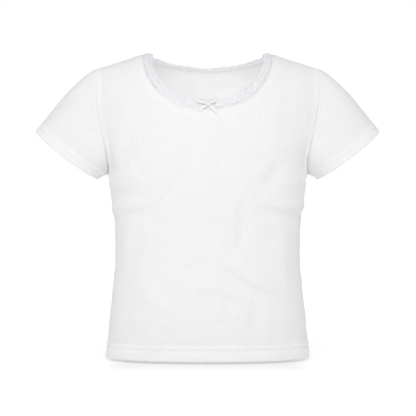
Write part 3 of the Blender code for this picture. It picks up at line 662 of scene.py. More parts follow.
def relief(points, facing, armholes, neck):
    """The height of the ribs, hem, seams and turned edges over the plain cloth, and its whitening: doubled cloth and
    painted light.
    """
    from_armhole = np.minimum(away_from(points, armholes), away_from(points, armholes * np.array([-1, 1])))
    from_neck = away_from(points, neck)
    from_hem = points[:, 1] - HEM
    from_side = (1 - np.abs(points[:, 0])) * CLOTH_HALF
    from_shoulder = (CLIMB_TOP - points[:, 1]) * 0.9
    under_arm = 1 - smooth(points[:, 1], *UNDER_ARM_CLIMB)
    # The seam's turnings stand as a ridge beside the armhole, and the ribs over it are drawn flat
    ridge = smooth(from_armhole, 0.0, 0.0022) * (1 - smooth(from_armhole, 0.0040, 0.0076))
    lift = ribs(points[:, 0] * COLUMNS) * (1 - 0.7 * ridge) + 0.00080 * ridge
    # The hem's turned-up cloth, the neck edge turned in, and that edge pressed down under the lace
    lift += 0.00040 * (1 - smooth(from_hem, 0.0205, 0.0230))
    lift += 0.00022 * smooth(from_neck, 0.0018, 0.0052) * (1 - smooth(from_neck, 0.0058, 0.0115))
    lift -= 0.00060 * (1 - smooth(from_neck, 0.0, 0.0036))
    lift += along_lines(
        Line(0.00030, 1 - under_arm, from_armhole, 0.0, 0.0012),  # the armhole's edge, up at the shoulder
        Line(-0.00030, under_arm, from_armhole, 0.0, 0.0010),  # and its groove, down under the arm
        Line(-0.00090, under_arm**2, from_armhole, 0.0086, 0.0018),  # where the ridge ends under the arm
        Line(-0.00060, 1, from_hem, HEM_LINES[0], 0.0011),  # the hem's lower sewn line
        Line(-0.00026, 1, from_hem, HEM_LINES[1], 0.0011),  # its upper one
        Line(0.00040, 1, from_hem, 0.0169, 0.0016),  # the swell between them
        Line(-0.00025, 1, from_hem, 0.0, 0.0007),  # the hem's folded edge
        Line(-0.00022, 1, from_neck, 0.0026, 0.0007),  # the line that holds the lace
        Line(-0.00045, points[:, 1] < 0.004, from_side, 0.0, 0.0011),  # the side seam
        Line(-0.00045, 1, from_shoulder, 0.0, 0.0011),  # the shoulder seam
    )
    # Whiter on the doubled hem and seam turnings, partly painted light, and a painted highlight on the roll beside the
    # neck
    doubled_and_painted_light = 1.5 * (1 - smooth(from_hem, 0.0200, 0.0224))
    doubled_and_painted_light += smooth(from_armhole, 0.0003, 0.0012) * (1 - smooth(from_armhole, 0.0044, 0.0062))
    doubled_and_painted_light += 0.4 * smooth(from_neck, 0.0022, 0.0036) * (1 - smooth(from_neck, 0.0072, 0.0100))
    return lift, doubled_and_painted_light


def grid_within(outline, half_columns, rows, clear):
    """Points in level rows inside an outline, half_columns of them each side, none of them close to its edge."""
    columns = np.arange(-half_columns + 1, half_columns) / half_columns
    grid = np.stack(np.meshgrid(columns, rows), axis=-1).reshape(-1, 2)
    grid = grid[inside(grid, outline)]
    return grid[away_from(grid, outline) > clear]


def make_panel(name, facing):
    outline, armholes, neck = panel_outline(facing)
    fine = grid_within(outline, COLUMNS, all_rows, CLEAR_FINE)
    sewn = outline[outline[:, 1] > ABOVE_ARMPIT]
    from_sewn = np.minimum(away_from(fine, sewn[sewn[:, 0] > 0]), away_from(fine, sewn[sewn[:, 0] < 0]))
    fine = np.concatenate([fine[from_sewn > SEWN_EDGE_ROWS[-1] + CLEAR_ROWS], along_sewn_edges(outline)])
    coarse = grid_within(outline, RIBS_ACROSS_PANEL, all_rows[::2], CLEAR_COARSE)

    outer, inner = np.concatenate([outline, fine]), np.concatenate([outline, coarse])
    base, under = form(outer[:, 0], outer[:, 1], facing), form(inner[:, 0], inner[:, 1], facing)
    lift, doubled_and_painted_light = relief(outer, facing, armholes, neck)
    lift = lift + creased(base, facing)
    fold = HEM_FOLD_INSIDE * (1 - smooth(inner[:, 1] - HEM, 0.0205, 0.0224)) * (inner[:, 1] > HEM)
    sink = RIB_INSIDE * np.cos(inner[:, 0] * RIBS_ACROSS_PANEL * math.pi) - WALL - fold + creased(under, facing)
    face = base + outward(outer[:, 0], outer[:, 1], facing) * lift[:, None]
    lining = under + outward(inner[:, 0], inner[:, 1], facing) * sink[:, None]
    points = pulled_in(np.concatenate([face, lining]))

    count, first = len(outline), len(outer)
    faces = triangles(outline, fine)
    faces += [[first + corner for corner in reversed(face)] for face in triangles(outline, coarse)]
    for i in range(count):
        j = (i + 1) % count
        faces.append([i, first + i, first + j, j])
    places = on_cloth(np.concatenate([outer, inner]))
    # Inside, by the neck, the cloth lies double and is painted whiter: painted light that lifts the shade inside the
    # neck
    turned_in_and_painted_light = 1.4 * (1 - smooth(away_from(inner, neck), 0.0060, 0.0160))
    doubled_and_painted_light = np.concatenate([doubled_and_painted_light, turned_in_and_painted_light])
    folded = np.concatenate([outline[:, 1] > ABOVE_ARMPIT, np.zeros(len(points) - count, dtype=bool)])
    return add_piece(name, points, faces, knit, places, doubled_and_painted_light=doubled_and_painted_light, folded=folded)


front_cloth = make_panel("front_cloth", FRONT)
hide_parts("front")
back_cloth = make_panel("back_cloth", BACK)
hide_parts("back")

# ---------------------------------------------------------------- sleeves
# Short set-in sleeves of the same knit, each a tube cut with a round cap, sewn into the armhole, with its ribs
# along the arm and its end turned up for a narrow hem.

RIBS_ROUND_SLEEVE = 60
SLEEVE_HEM_CENTRE = np.array([0.1834, 0.0, -0.1314])
SLEEVE_HEM_HALF = 0.0514
SLEEVE_HEM_HALF_DEPTH = 0.0320
SLEEVE_HEM_ANGLE = math.radians(52.5)
SLEEVE_DROP_ANGLE = math.radians(50.5)
SLEEVE_TURN_BACK = math.radians(8.0)
SLEEVE_CUT_HALF = 0.131
SLEEVE_CAP = 0.095
SLEEVE_BAND = 0.0125
SLEEVE_LINES = (0.0070, 0.0115)
CAP_FULLNESS = 0.65
HEM_FULLNESS = 1.2
SLEEVE_BULGE = 0.30
SLEEVE_COLUMNS = 4 * RIBS_ROUND_SLEEVE
SLEEVE_MM = np.array([131.0, 90.0])  # half the cut's width round the arm, and its length along it
SLEEVE_CURVED = 1.04  # the cloth's length over the straight distance from armhole to hem
UNDER_ARM_HEIGHTS = (-0.145, -0.085)  # where the armhole seam is wholly pulled in, and where it no longer is
SEAM_ROWS = (-0.0008, 0.0, 0.0007, 0.0015, 0.0025, 0.0038)
FINE_ROWS_FROM, FINE_ROWS_MOST = 0.0155, 0.62  # where the close rows by the hem start, at most this share of the cloth

# Creases of a sleeve: where they start and end round the sleeve and along it, with width and depth in mm
SleeveCrease = namedtuple("SleeveCrease", "from_round from_along to_round to_along width depth")
SLEEVE_CREASES = (
    SleeveCrease(0.62, 0.10, 0.34, 0.62, 6.5, 1.1),
    SleeveCrease(0.46, 0.02, 0.14, 0.34, 7.0, 0.8),
    SleeveCrease(0.20, 0.45, 0.02, 0.80, 6.0, 0.7),
    SleeveCrease(-0.60, 0.08, -0.36, 0.66, 7.0, 1.2),
    SleeveCrease(-0.30, 0.10, -0.12, 0.50, 7.0, 0.8),
    SleeveCrease(0.05, 0.12, -0.06, 0.46, 8.0, 0.6),
)


def sleeve_direction(drop):
    """The way out of the sleeve when it drops by an angle from level and turns a little to the back."""
    level = math.cos(SLEEVE_TURN_BACK)
    return np.array([math.cos(drop) * level, math.sin(SLEEVE_TURN_BACK), -math.sin(drop) * level])


SLEEVE_UP = np.array([math.sin(SLEEVE_HEM_ANGLE), 0.0, math.cos(SLEEVE_HEM_ANGLE)])
SLEEVE_FORWARD = np.cross(sleeve_direction(SLEEVE_HEM_ANGLE), SLEEVE_UP)
SHOULDER_DIRECTION = unit([1.0, 0.0, -SHOULDER_SLOPE])
UNDERARM_DIRECTION = unit([0.72, 0.0, -0.69])

cap_places = np.linspace(0.0, 1.0, 801)
cap_slopes = SLEEVE_CAP * math.pi / 2 * np.sin(math.pi * cap_places[1:])
cap_run = np.concatenate([[0.0], np.cumsum(np.hypot(SLEEVE_CUT_HALF, cap_slopes))])
hem_turns = np.linspace(0.0, math.pi, 801)
hem_steps = np.hypot(
    np.diff(SLEEVE_HEM_HALF * np.cos(hem_turns)), np.diff(SLEEVE_HEM_HALF_DEPTH * np.sin(hem_turns))
)
hem_run = np.concatenate([[0.0], np.cumsum(hem_steps)])


def sleeve_ends(rounds):
    """(armhole points, hem points, directions out of the armhole) of the right sleeve. rounds is 0 at the
    shoulder, 1 at the underarm in front and -1 behind."""
    rounds = (np.asarray(rounds, float) + 1) % 2 - 1
    ahead = (rounds >= 0)[:, None]
    shares = 1 - np.interp(np.abs(rounds), cap_places, cap_run / cap_run[-1])
    root = np.where(ahead, form(*armhole(FRONT, shares), FRONT), form(*armhole(BACK, shares), BACK))
    angle = np.interp(np.abs(rounds), hem_run / hem_run[-1], hem_turns) * np.where(rounds >= 0, 1, -1)
    hem = SLEEVE_HEM_CENTRE + SLEEVE_HEM_HALF * np.cos(angle)[:, None] * SLEEVE_UP
    hem = hem + SLEEVE_HEM_HALF_DEPTH * np.sin(angle)[:, None] * SLEEVE_FORWARD
    over = (np.cos(rounds * math.pi / 2) ** 2)[:, None]
    bulge = (SLEEVE_BULGE * np.sin(math.pi * rounds))[:, None] * np.array([0.0, -1.0, 0.0])
    return root, hem, unit(over * SHOULDER_DIRECTION + (1 - over) * UNDERARM_DIRECTION + bulge)


def sleeve_form(rounds, along):
    """Points of the right sleeve: one row for each value of along, which is 0 at the armhole and 1 at the hem
    and may differ from column to column."""
    root, hem, leaving = sleeve_ends(rounds)
    length = np.linalg.norm(hem - root, axis=1)[:, None]
    arriving = HEM_FULLNESS * length * sleeve_direction(SLEEVE_DROP_ANGLE)
    return eased(np.asarray(along)[..., None], root, CAP_FULLNESS * length * leaving, hem, arriving)


def sleeve_outward(rounds, along):
    around = sleeve_form(rounds + NUDGE, along) - sleeve_form(rounds - NUDGE, along)
    down = sleeve_form(rounds, along + NUDGE) - sleeve_form(rounds, along - NUDGE)
    return unit(np.cross(around, down))


sleeve_rounds = np.linspace(-1.0, 1.0, SLEEVE_COLUMNS, endpoint=False)
sleeve_root, sleeve_hem, _ = sleeve_ends(sleeve_rounds)
sleeve_lengths = np.linalg.norm(sleeve_hem - sleeve_root, axis=1) * SLEEVE_CURVED
sleeve_band = np.minimum(FINE_ROWS_FROM / sleeve_lengths, FINE_ROWS_MOST)


def sleeve_rows(body_rows, band_rows):
    """along for every row and column: rows from just inside the armhole to the hem's edge."""
    upper = [distance / sleeve_lengths for distance in SEAM_ROWS]
    start = upper[-1]
    upper += [start + (1 - sleeve_band - start) * k / body_rows for k in range(1, body_rows)]
    return np.array(upper + [1 - sleeve_band * (1 - k / band_rows) for k in range(band_rows + 1)])


def off_band(from_hem):
    """0 on the sleeve's turned-up hem and 1 above it."""
    return smooth(from_hem, SLEEVE_BAND, SLEEVE_BAND + 0.0020)


def sleeve_relief(along):
    """How far the ribs, the seam groove, the hem and the creases lift the sleeve's face."""
    from_root, from_hem = along * sleeve_lengths, (1 - along) * sleeve_lengths
    from_underarm = (1 - np.abs(sleeve_rounds)) * SLEEVE_CUT_HALF
    under_arm = 1 - smooth(sleeve_root[:, 2], *UNDER_ARM_HEIGHTS)
    lift = ribs(np.arange(SLEEVE_COLUMNS)) * smooth(from_root, 0.0005, 0.0040)
    lift = lift + 0.00048 * (1 - under_arm) * (1 - smooth(from_root, 0.0030, 0.0100))
    lift += 0.00040 * (1 - off_band(from_hem))
    lift += along_lines(
        Line(-0.00045, under_arm, from_root, 0.0, 0.0013),  # the armhole seam under the arm
        Line(-0.00026, 1, from_hem, SLEEVE_LINES[0], 0.0010),  # the hem's two sewn lines
        Line(-0.00026, 1, from_hem, SLEEVE_LINES[1], 0.0010),
        Line(-0.00020, 1, from_hem, 0.0, 0.0006),  # its folded edge
        Line(-0.00045, 1, from_underarm, 0.0, 0.0012),  # the sleeve's own seam
    )
    x, y = np.broadcast_arrays(sleeve_rounds * SLEEVE_MM[0], along * SLEEVE_MM[1])
    for crease in SLEEVE_CREASES:
        start = np.array(crease[:2]) * SLEEVE_MM
        way = np.array(crease[2:4]) * SLEEVE_MM - start
        share = np.clip(((x - start[0]) * way[0] + (y - start[1]) * way[1]) / (way @ way), 0.0, 1.0)
        away = np.hypot(x - start[0] - share * way[0], y - start[1] - share * way[1])
        taper = smooth(share, 0.0, 0.35) * (1 - smooth(share, 0.55, 1.0))
        lift -= crease.depth / 1000 * taper * hump(away, crease.width)
    wave = np.sin(0.11 * x + 0.05 * y + 0.6) * np.sin(0.09 * y - 0.04 * x + 1.1)
    return lift + 0.00012 * wave * smooth(from_root, 0.004, 0.02) * smooth(from_hem, 0.0, 0.01)


def make_sleeve(name, side):
    outer = sleeve_rows(body_rows=38, band_rows=16)
    inner = sleeve_rows(body_rows=16, band_rows=8)[::-1]
    folds = sleeve_relief(inner) - ribs(np.arange(SLEEVE_COLUMNS))
    along = np.concatenate([outer, inner])
    lift = np.concatenate([sleeve_relief(outer), -WALL + np.minimum(folds, 0.0) * 0.8])
    rows = sleeve_form(sleeve_rounds, along) + sleeve_outward(sleeve_rounds, along) * lift[..., None]
    points = pulled_in(rows.reshape(-1, 3)) * np.array([side, 1.0, 1.0])
    faces = []
    for row in range(len(rows)):
        a, b = row * SLEEVE_COLUMNS, (row + 1) % len(rows) * SLEEVE_COLUMNS
        for i in range(SLEEVE_COLUMNS):
            j = (i + 1) % SLEEVE_COLUMNS
            faces.append([a + i, a + j, b + j, b + i])
    girth = RIBS_ROUND_SLEEVE * RIB_PITCH
    places = np.stack(np.broadcast_arrays(sleeve_rounds * girth / 2, along * sleeve_lengths), -1).reshape(-1, 2)
    # Outside, the sleeve is painted a little darker than the body, as painted shade, and its doubled hem whiter,
    # partly painted light
    white = 1.4 * (1 - off_band((1 - along) * sleeve_lengths)) - 0.9
    white *= (np.arange(len(rows)) < len(outer))[:, None]
    return add_piece(name, points, faces, knit, places, girth, doubled_and_painted_light=white.ravel())


sleeve_left_cloth = make_sleeve("sleeve_left_cloth", -1)
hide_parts("sleeve_left")
sleeve_right_cloth = make_sleeve("sleeve_right_cloth", 1)
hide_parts("sleeve_right")

# ---------------------------------------------------------------- hem stitches
# The hems of body and sleeves are held by two lines of lockstitch from a twin needle, in white thread that
# sinks a little into the knit.

thread = Finish("white_thread")
twist = thread.noise(scale=1800.0)
thread.looks({"Base Color": thread.blend(twist, grey(0.83), grey(0.90)), "Roughness": twist * 0.2 + 0.5})
thread.bump(twist, distance=0.00004)

STITCH_PITCH = 0.0026
STITCH_LENGTH = 0.0022
STITCH_WIDTH = 0.00036
HEM_REACH, HEM_POINTS = 0.994, 420  # how near the hem's lines come to the side seams, and their points
STITCH_LIFT, SLEEVE_STITCH_LIFT = 0.00050, 0.00042  # of the thread over the plain cloth

stitching = bpy.data.node_groups.new("stitch_row", "GeometryNodeTree")
stitching.interface.new_socket("Geometry", in_out="INPUT", socket_type="NodeSocketGeometry")
stitch_inputs = {}
for label, kind, value in (
    ("Pitch", "NodeSocketFloat", STITCH_PITCH),
    ("Stitch Length", "NodeSocketFloat", STITCH_LENGTH),
    ("Stitch Width", "NodeSocketFloat", STITCH_WIDTH),
    ("Thread", "NodeSocketMaterial", None),
):
    socket = stitching.interface.new_socket(label, in_out="INPUT", socket_type=kind)
    stitch_inputs[label] = socket.identifier
    if value is not None:
        socket.default_value = value
stitching.interface.new_socket("Geometry", in_out="OUTPUT", socket_type="NodeSocketGeometry")


def stitch_node(kind, sockets, **settings):
    return add_node(stitching, kind, sockets, **settings).outputs[0]


given = stitching.nodes.new("NodeGroupInput").outputs
line = stitch_node("GeometryNodeMeshToCurve", {"Mesh": given["Geometry"]})
spaced = stitch_node("GeometryNodeResampleCurve", {"Curve": line, "Length": given["Pitch"]}, mode="LENGTH")
face_way = stitch_node("GeometryNodeInputNamedAttribute", {"Name": "out"}, data_type="FLOAT_VECTOR")
tangent = stitch_node("GeometryNodeInputTangent", {})
turned_to = stitch_node("FunctionNodeAxesToRotation", {0: face_way, 1: tangent}, primary_axis="Z", secondary_axis="X")
bead = stitch_node("GeometryNodeMeshUVSphere", {"Segments": 6, "Rings": 4, "Radius": 0.5})
width = given["Stitch Width"]
measure = stitch_node("ShaderNodeCombineXYZ", {0: given["Stitch Length"], 1: width, 2: width})
one_stitch = stitch_node("GeometryNodeTransform", {"Geometry": bead, "Scale": measure})
set_out = {"Points": spaced, "Instance": one_stitch, "Rotation": turned_to}
stitches = stitch_node("GeometryNodeInstanceOnPoints", set_out)
real = stitch_node("GeometryNodeRealizeInstances", {0: stitches})
softened = stitch_node("GeometryNodeSetShadeSmooth", {"Geometry": real})
threaded = stitch_node("GeometryNodeSetMaterial", {"Geometry": softened, "Material": given["Thread"]})
add_node(stitching, "NodeGroupOutput", {"Geometry": threaded})


def sew(name, lines, pitch=STITCH_PITCH, length=STITCH_LENGTH):
    """Rows of stitches as one piece. Each line is (points, ways out, whether it closes on itself)."""
    points, ways, edges = [], [], []
    for path, out, closed in lines:
        start = len(points)
        points += np.asarray(path).tolist()
        ways += np.asarray(out).tolist()
        edges += [(start + i, start + i + 1) for i in range(len(path) - 1)]
        if closed:
            edges.append((start + len(path) - 1, start))
    guide_mesh = bpy.data.meshes.new(name + "_guide")
    guide_mesh.from_pydata(points, edges, [])
    out = guide_mesh.attributes.new("out", "FLOAT_VECTOR", "POINT")
    out.data.foreach_set("vector", np.array(ways, np.float32).ravel())
    guide = stand(name + "_guide", guide_mesh)
    machine = guide.modifiers.new("sewing", "NODES")
    machine.node_group = stitching
    settings = {"Pitch": pitch, "Stitch Length": length, "Stitch Width": STITCH_WIDTH, "Thread": thread.material}
    for label, value in settings.items():
        machine[stitch_inputs[label]] = value
    sewn = bpy.data.meshes.new_from_object(guide.evaluated_get(bpy.context.evaluated_depsgraph_get()))
    bpy.data.objects.remove(guide, do_unlink=True)
    sewn.name = name
    return finished_piece(name, sewn)


def hem_lines(facing):
    lines = []
    for height in HEM_LINES:
        across = np.linspace(-HEM_REACH, HEM_REACH, HEM_POINTS)
        climb = np.full(len(across), HEM + height)
        out = outward(across, climb, facing)
        face = form(across, climb, facing)
        lines.append((face + out * (STITCH_LIFT + creased(face, facing))[:, None], out, False))
    return lines


def sleeve_lines(side):
    lines = []
    mirror = np.array([side, 1.0, 1.0])
    for height in SLEEVE_LINES:
        along = 1 - np.minimum(height / sleeve_lengths, 0.9)
        out = sleeve_outward(sleeve_rounds, along)
        path = sleeve_form(sleeve_rounds, along) + out * SLEEVE_STITCH_LIFT
        lines.append((path * mirror, out * mirror, True))
    return lines


front_stitches = sew("hem_stitches_front", hem_lines(FRONT))
back_stitches = sew("hem_stitches_back", hem_lines(BACK))
sleeve_left_stitches = sew("hem_stitches_sleeve_left", sleeve_lines(-1))
sleeve_right_stitches = sew("hem_stitches_sleeve_right", sleeve_lines(1))

# ---------------------------------------------------------------- lace
# A band of fine scalloped lace, faintly blue beside the cotton, is sewn behind the neck edge all round. It
# stands up in front and curls inwards over the shoulders and the back. It is openwork: a ladder of holes along
# its foot, a fan of petals in each scallop, and small loops round the free edge.

LACE_WIDTH = 0.0135
LACE_THICK = 0.00042
LACE_SINK = 0.0006
SCALLOPS = 42
SCALLOP_DEPTH = 0.0016
PICOT = 0.00022
GATHERS, SLOW_WAVES = 23, 11  # round the whole neck: where the foot is drawn in, and where the free edge swings out
NECK_PLACES, BEARING_STEP = 1441, 0.01

lace_finish = Finish("lace_white")
run, rise = lace_finish.place("cloth")
threads = (run * 9000.0 + (rise * 2600.0).wave() * 1.2).wave() * 0.5 + (rise * 9000.0).wave() * 0.3
mesh_noise = lace_finish.noise(scale=900.0, detail=3.0)
patches = lace_finish.noise(scale=170.0, detail=1.0)
lace_finish.bump(threads + mesh_noise * 0.8, distance=0.00005)
mottled = patches * 1.2 - 0.25 + mesh_noise * 0.3
cotton = lace_finish.blend(mottled, (0.785, 0.791, 0.832, 1.0), (0.885, 0.890, 0.910, 1.0))
# The whitening is painted light at the back of the lace, and the cloth showing behind it along its foot
white = lace_finish.blend(lace_finish.given("doubled_and_painted_light"), cotton, (0.950, 0.952, 0.960, 1.0))
lace_finish.looks({"Base Color": white, "Roughness": mesh_noise * 0.2 + 0.6, "Sheen Weight": 0.1})

Stand = namedtuple("Stand", "tilt curl")
LACE_AT_FRONT = Stand(math.radians(0), math.radians(14))
LACE_AT_SHOULDER = Stand(math.radians(15), math.radians(78))
LACE_AT_BACK = Stand(math.radians(0), math.radians(100))


def neck_loop(bearings):
    """(points, ways out) round the neck edge: bearing 0 is the front's centre, half a turn the back's."""
    quarter = np.abs((bearings + math.pi) % (2 * math.pi) - math.pi)
    side = np.where(np.sin(bearings) >= 0, 1.0, -1.0)
    points, ways = np.zeros((len(bearings), 3)), np.zeros((len(bearings), 3))
    for facing, here, turn in (
        (FRONT, quarter <= math.pi / 2, quarter),
        (BACK, quarter > math.pi / 2, math.pi - quarter),
    ):
        across, climb = neck_edge(facing, turn[here])
        points[here] = form(across * side[here], climb, facing)
        ways[here] = outward(across * side[here], climb, facing)
    return points, ways


neck_bearings = np.linspace(0.0, 2 * math.pi, NECK_PLACES)
neck_points, neck_ways = neck_loop(neck_bearings)
neck_before, _ = neck_loop(neck_bearings - BEARING_STEP)
neck_after, _ = neck_loop(neck_bearings + BEARING_STEP)
neck_standing = unit(np.cross(neck_ways, unit(neck_after - neck_before)))
neck_run = np.concatenate([[0.0], np.cumsum(np.linalg.norm(np.diff(neck_points, axis=0), axis=1))])
neck_girth = neck_run[-1]


def round_neck(shares, values):
    """Values given round the neck, read at shares of its length."""
    shares = np.asarray(shares) % 1.0
    return np.stack([np.interp(shares, neck_run / neck_girth, values[:, k]) for k in range(values.shape[1])], axis=-1)


def on_lace(shares, heights, lift):
    """(points, ways out) of the lace at shares of its length round the neck and heights above its foot."""
    bearing = np.interp(np.asarray(shares) % 1.0, neck_run / neck_girth, neck_bearings)
    foot, normal, standing = (round_neck(shares, values) for values in (neck_points, neck_ways, neck_standing))
    normal, standing = unit(normal), unit(standing)
    ahead = np.clip(np.cos(bearing), 0.0, 1.0) ** 0.6
    behind = np.clip(-np.cos(bearing), 0.0, 1.0)
    tilt, curl = (
        (1 - ahead - behind) * shoulder + ahead * front + behind * back
        for shoulder, front, back in zip(LACE_AT_SHOULDER, LACE_AT_FRONT, LACE_AT_BACK)
    )
    swing = -tilt + heights / LACE_WIDTH * curl
    first = np.cos(-tilt)[:, None] * normal + np.sin(-tilt)[:, None] * standing
    out = np.cos(swing)[:, None] * normal + np.sin(swing)[:, None] * standing
    # The seam draws the foot in unevenly, and the free edge waves
    turn, free = 2 * math.pi * shares, np.clip(heights / LACE_WIDTH, 0, 1) ** 2
    gathered = 0.5 + 0.5 * np.sin(GATHERS * turn + 1.7 * np.sin(5 * turn))
    lift = lift - (0.0010 - 0.0007 * gathered) * hump(heights, 0.0021) + 0.0004 * hump(heights - 0.0045, 0.0022)
    lift = lift + (0.00045 * np.sin(SCALLOPS * turn) + 0.0008 * np.sin(SLOW_WAVES * turn + 1.0)) * free
    return foot + (LACE_WIDTH / curl)[:, None] * (out - first) + out * lift[:, None], out


def turned(x, y, degrees):
    """A place turned about the origin."""
    cos, sin = math.cos(math.radians(degrees)), math.sin(math.radians(degrees))
    return x * cos - y * sin, x * sin + y * cos


# One repeat of the pattern, in millimetres: a ladder of holes along the foot, a fan of seven petals and one of nine
# eyelets round it, and small holes between them
Hole = namedtuple("Hole", "x y long wide turn")
REPEAT = neck_girth / SCALLOPS * 1000
MIDDLE = REPEAT / 2
PATTERN_MARGIN = 0.7  # holes nearer to the side of a repeat are left out
LADDER, PETALS, EYELETS, LOOPS = 5, 7, 9, 9
HOLE_CORNERS = 8
SIDE_STEP, SIDE_POINTS, EDGE_POINTS, FOOT_POINTS = 0.9, 13, 55, 13
WELD = 200  # parts of a millimetre that places are rounded to, to find the points that two repeats share

holes = [Hole((k + 0.5) / LADDER * REPEAT, 1.7, 0.62, 0.48, 0) for k in range(LADDER)]
holes += [Hole((k + 0.5) / LADDER * REPEAT, 3.35, 0.42, 0.42, 45) for k in range(LADDER)]
for k in range(PETALS):
    bearing = -78 + 26 * k
    across, up = turned(0.0, 3.45, -bearing)
    holes.append(Hole(MIDDLE + across, 5.6 + up, 1.35, 0.42, 90 - bearing))
for k in range(EYELETS):
    across, up = turned(0.0, 1.0, 80 - 20 * k)
    holes.append(Hole(MIDDLE + 4.55 * across, 5.9 + 6.05 * up, 0.34, 0.34, 0))
holes += [Hole(MIDDLE + x, y, 0.5, 0.5, 45) for x, y in ((0, 5.9), (-1.5, 5.0), (1.5, 5.0))]
holes += [Hole(x, y, 0.5, 0.42, 90) for x in (0.95, REPEAT - 0.95) for y in (5.0, 11.3)]
holes = [hole for hole in holes if PATTERN_MARGIN < hole.x < REPEAT - PATTERN_MARGIN]


def lace_edge(x):
    """The lace's height at a place along one repeat: a scallop with small loops round it. Millimetres."""
    arc = 1 - np.abs(np.sin(math.pi * x / REPEAT))
    return (LACE_WIDTH - SCALLOP_DEPTH * arc) * 1000 + PICOT * 1000 * np.cos(2 * math.pi * LOOPS * x / REPEAT)


def in_hole(spot, hole):
    a, b = turned(spot[0] - hole.x, spot[1] - hole.y, -hole.turn)
    return (a / hole.long) ** 2 + (b / hole.wide) ** 2 < 0.8


def lace_repeat():
    """Points and triangles of one repeat of the flat lace, in millimetres."""
    side = [round(SIDE_STEP * k, 3) for k in range(SIDE_POINTS)]
    top = [(x, lace_edge(x)) for x in np.linspace(REPEAT, 0, EDGE_POINTS)]
    foot = [(x, 0.0) for x in np.linspace(0, REPEAT, FOOT_POINTS)]
    outline = foot + [(REPEAT, y) for y in side[1:]] + top + [(0.0, y) for y in reversed(side[1:])]
    points, edges = list(outline), []
    for hole in holes:
        start = len(points)
        for k in range(HOLE_CORNERS):
            angle = 2 * math.pi * k / HOLE_CORNERS
            across, up = turned(hole.long * math.cos(angle), hole.wide * math.sin(angle), hole.turn)
            points.append((hole.x + across, hole.y + up))
            edges.append((start + k, start + (k + 1) % HOLE_CORNERS))
    made, _, faces, _, _, _ = delaunay_2d_cdt(points, edges, [list(range(len(outline)))], 1, 1e-5)
    made = np.array([tuple(p) for p in made])
    centres = [made[list(face)].mean(axis=0) for face in faces]
    return made, [face for face, centre in zip(faces, centres) if not any(in_hole(centre, hole) for hole in holes)]


flat_points, flat_faces = lace_repeat()
lace_spots, lace_faces = [], []
known = {}
for repeat in range(SCALLOPS):
    numbers = []
    for x, y in flat_points:
        place = ((repeat * REPEAT + x) % (SCALLOPS * REPEAT), y)
        key = (round(place[0] * WELD) % round(SCALLOPS * REPEAT * WELD), round(y * WELD))
        if key not in known:
            known[key] = len(lace_spots)
            lace_spots.append(place)
        numbers.append(known[key])
    lace_faces += [[numbers[corner] for corner in face] for face in flat_faces]
lace_spots = np.array(lace_spots)
lace_shares, lace_heights = lace_spots[:, 0] / (SCALLOPS * REPEAT), lace_spots[:, 1] / 1000
lace_top, _ = on_lace(lace_shares, lace_heights, -LACE_SINK)
lace_under, _ = on_lace(lace_shares, lace_heights, -LACE_SINK - LACE_THICK)
count = len(lace_spots)
border = {}
for face in lace_faces:
    for a, b in zip(face, face[1:] + face[:1]):
        if (b, a) in border:
            del border[(b, a)]
        else:
            border[(a, b)] = True
walls = [[b, a, count + a, count + b] for a, b in border]
faces = lace_faces + [[count + corner for corner in reversed(face)] for face in lace_faces] + walls
places = np.concatenate([lace_spots, lace_spots]) / 1000
lace_points = np.concatenate([lace_top, lace_under])
# Painted light at the back, standing in for light that comes through it, and whiter along its foot, where it lies over
# the cloth
white = smooth(lace_points[:, 1], -0.010, 0.018) + 0.4 * (1 - smooth(np.tile(lace_heights, 2), 0.0008, 0.0040))
neck_lace = add_piece(
    "neck_lace_openwork", lace_points, faces, lace_finish, places, SCALLOPS * REPEAT / 1000, doubled_and_painted_light=white
)
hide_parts("neck_lace")


def neck_line(inset, lift):
    """A line at a distance below the neck edge, lifted off the cloth, for the stitches that hold the lace."""
    shares = np.linspace(0.0, 1.0, 700, endpoint=False)
    foot, normal, standing = (round_neck(shares, values) for values in (neck_points, neck_ways, neck_standing))
    return foot - unit(standing) * inset + unit(normal) * lift, unit(normal), True


sew("neck_stitches", [neck_line(inset=0.0026, lift=0.00012)], pitch=0.0024, length=0.0019)

# ---------------------------------------------------------------- bow
# A small bow of narrow white satin ribbon, sewn to the lace at the middle of the front: two flat loops, two
# tails that cross below them, and a knot wrapped with the same ribbon.

satin = Finish("ribbon_white")
run, rise = satin.place("cloth")
weft = (run * 16000.0).wave()
gleam = satin.noise(scale=260.0)
satin.bump(weft * 0.6 + gleam * 0.5, distance=0.00004)
white = satin.blend(gleam, (0.83, 0.83, 0.838, 1.0), (0.88, 0.88, 0.886, 1.0))
satin.looks({"Base Color": white, "Roughness": gleam * 0.15 + 0.45, "Sheen Weight": 0.2})

BOW_ASIDE = 0.0008
BOW_UP_LACE = 0.44
RIBBON_WIDTH = 0.0036
RIBBON_THICK = 0.00045
SELVEDGE_FROM, SELVEDGE = 0.8, 0.25  # where across the ribbon its edges thicken, and by how much of its thickness
HOLLOW = 0.3  # how far its middle lies below its edges, in the same measure
LOOP_ROOT = 0.0006
LOOP_TIP = 0.0008
PINCH = 0.4
KNOT_SIZE = (0.0044, 0.0024, 0.0046)
BOW_CLEARANCE = 0.0003
LOOP_IN, LOOP_BACK = 0.0006, 0.0005  # how far a loop starts inside the knot's edge, and behind its middle
TAIL_IN, TAIL_BACK = 0.0012, 0.0004
TAIL_HIDDEN = 0.0010  # the part of a tail inside the knot
TAIL_OFF_CLOTH, TAIL_WAVE = 0.0010, 0.0003
Wing = namedtuple("Wing", "word side loop_length loop_rise tail_length tail_drop")
WINGS = (
    Wing("left", -1, 0.0115, math.radians(17), 0.0125, math.radians(33)),
    Wing("right", 1, 0.0085, math.radians(24), 0.0125, math.radians(44)),
)


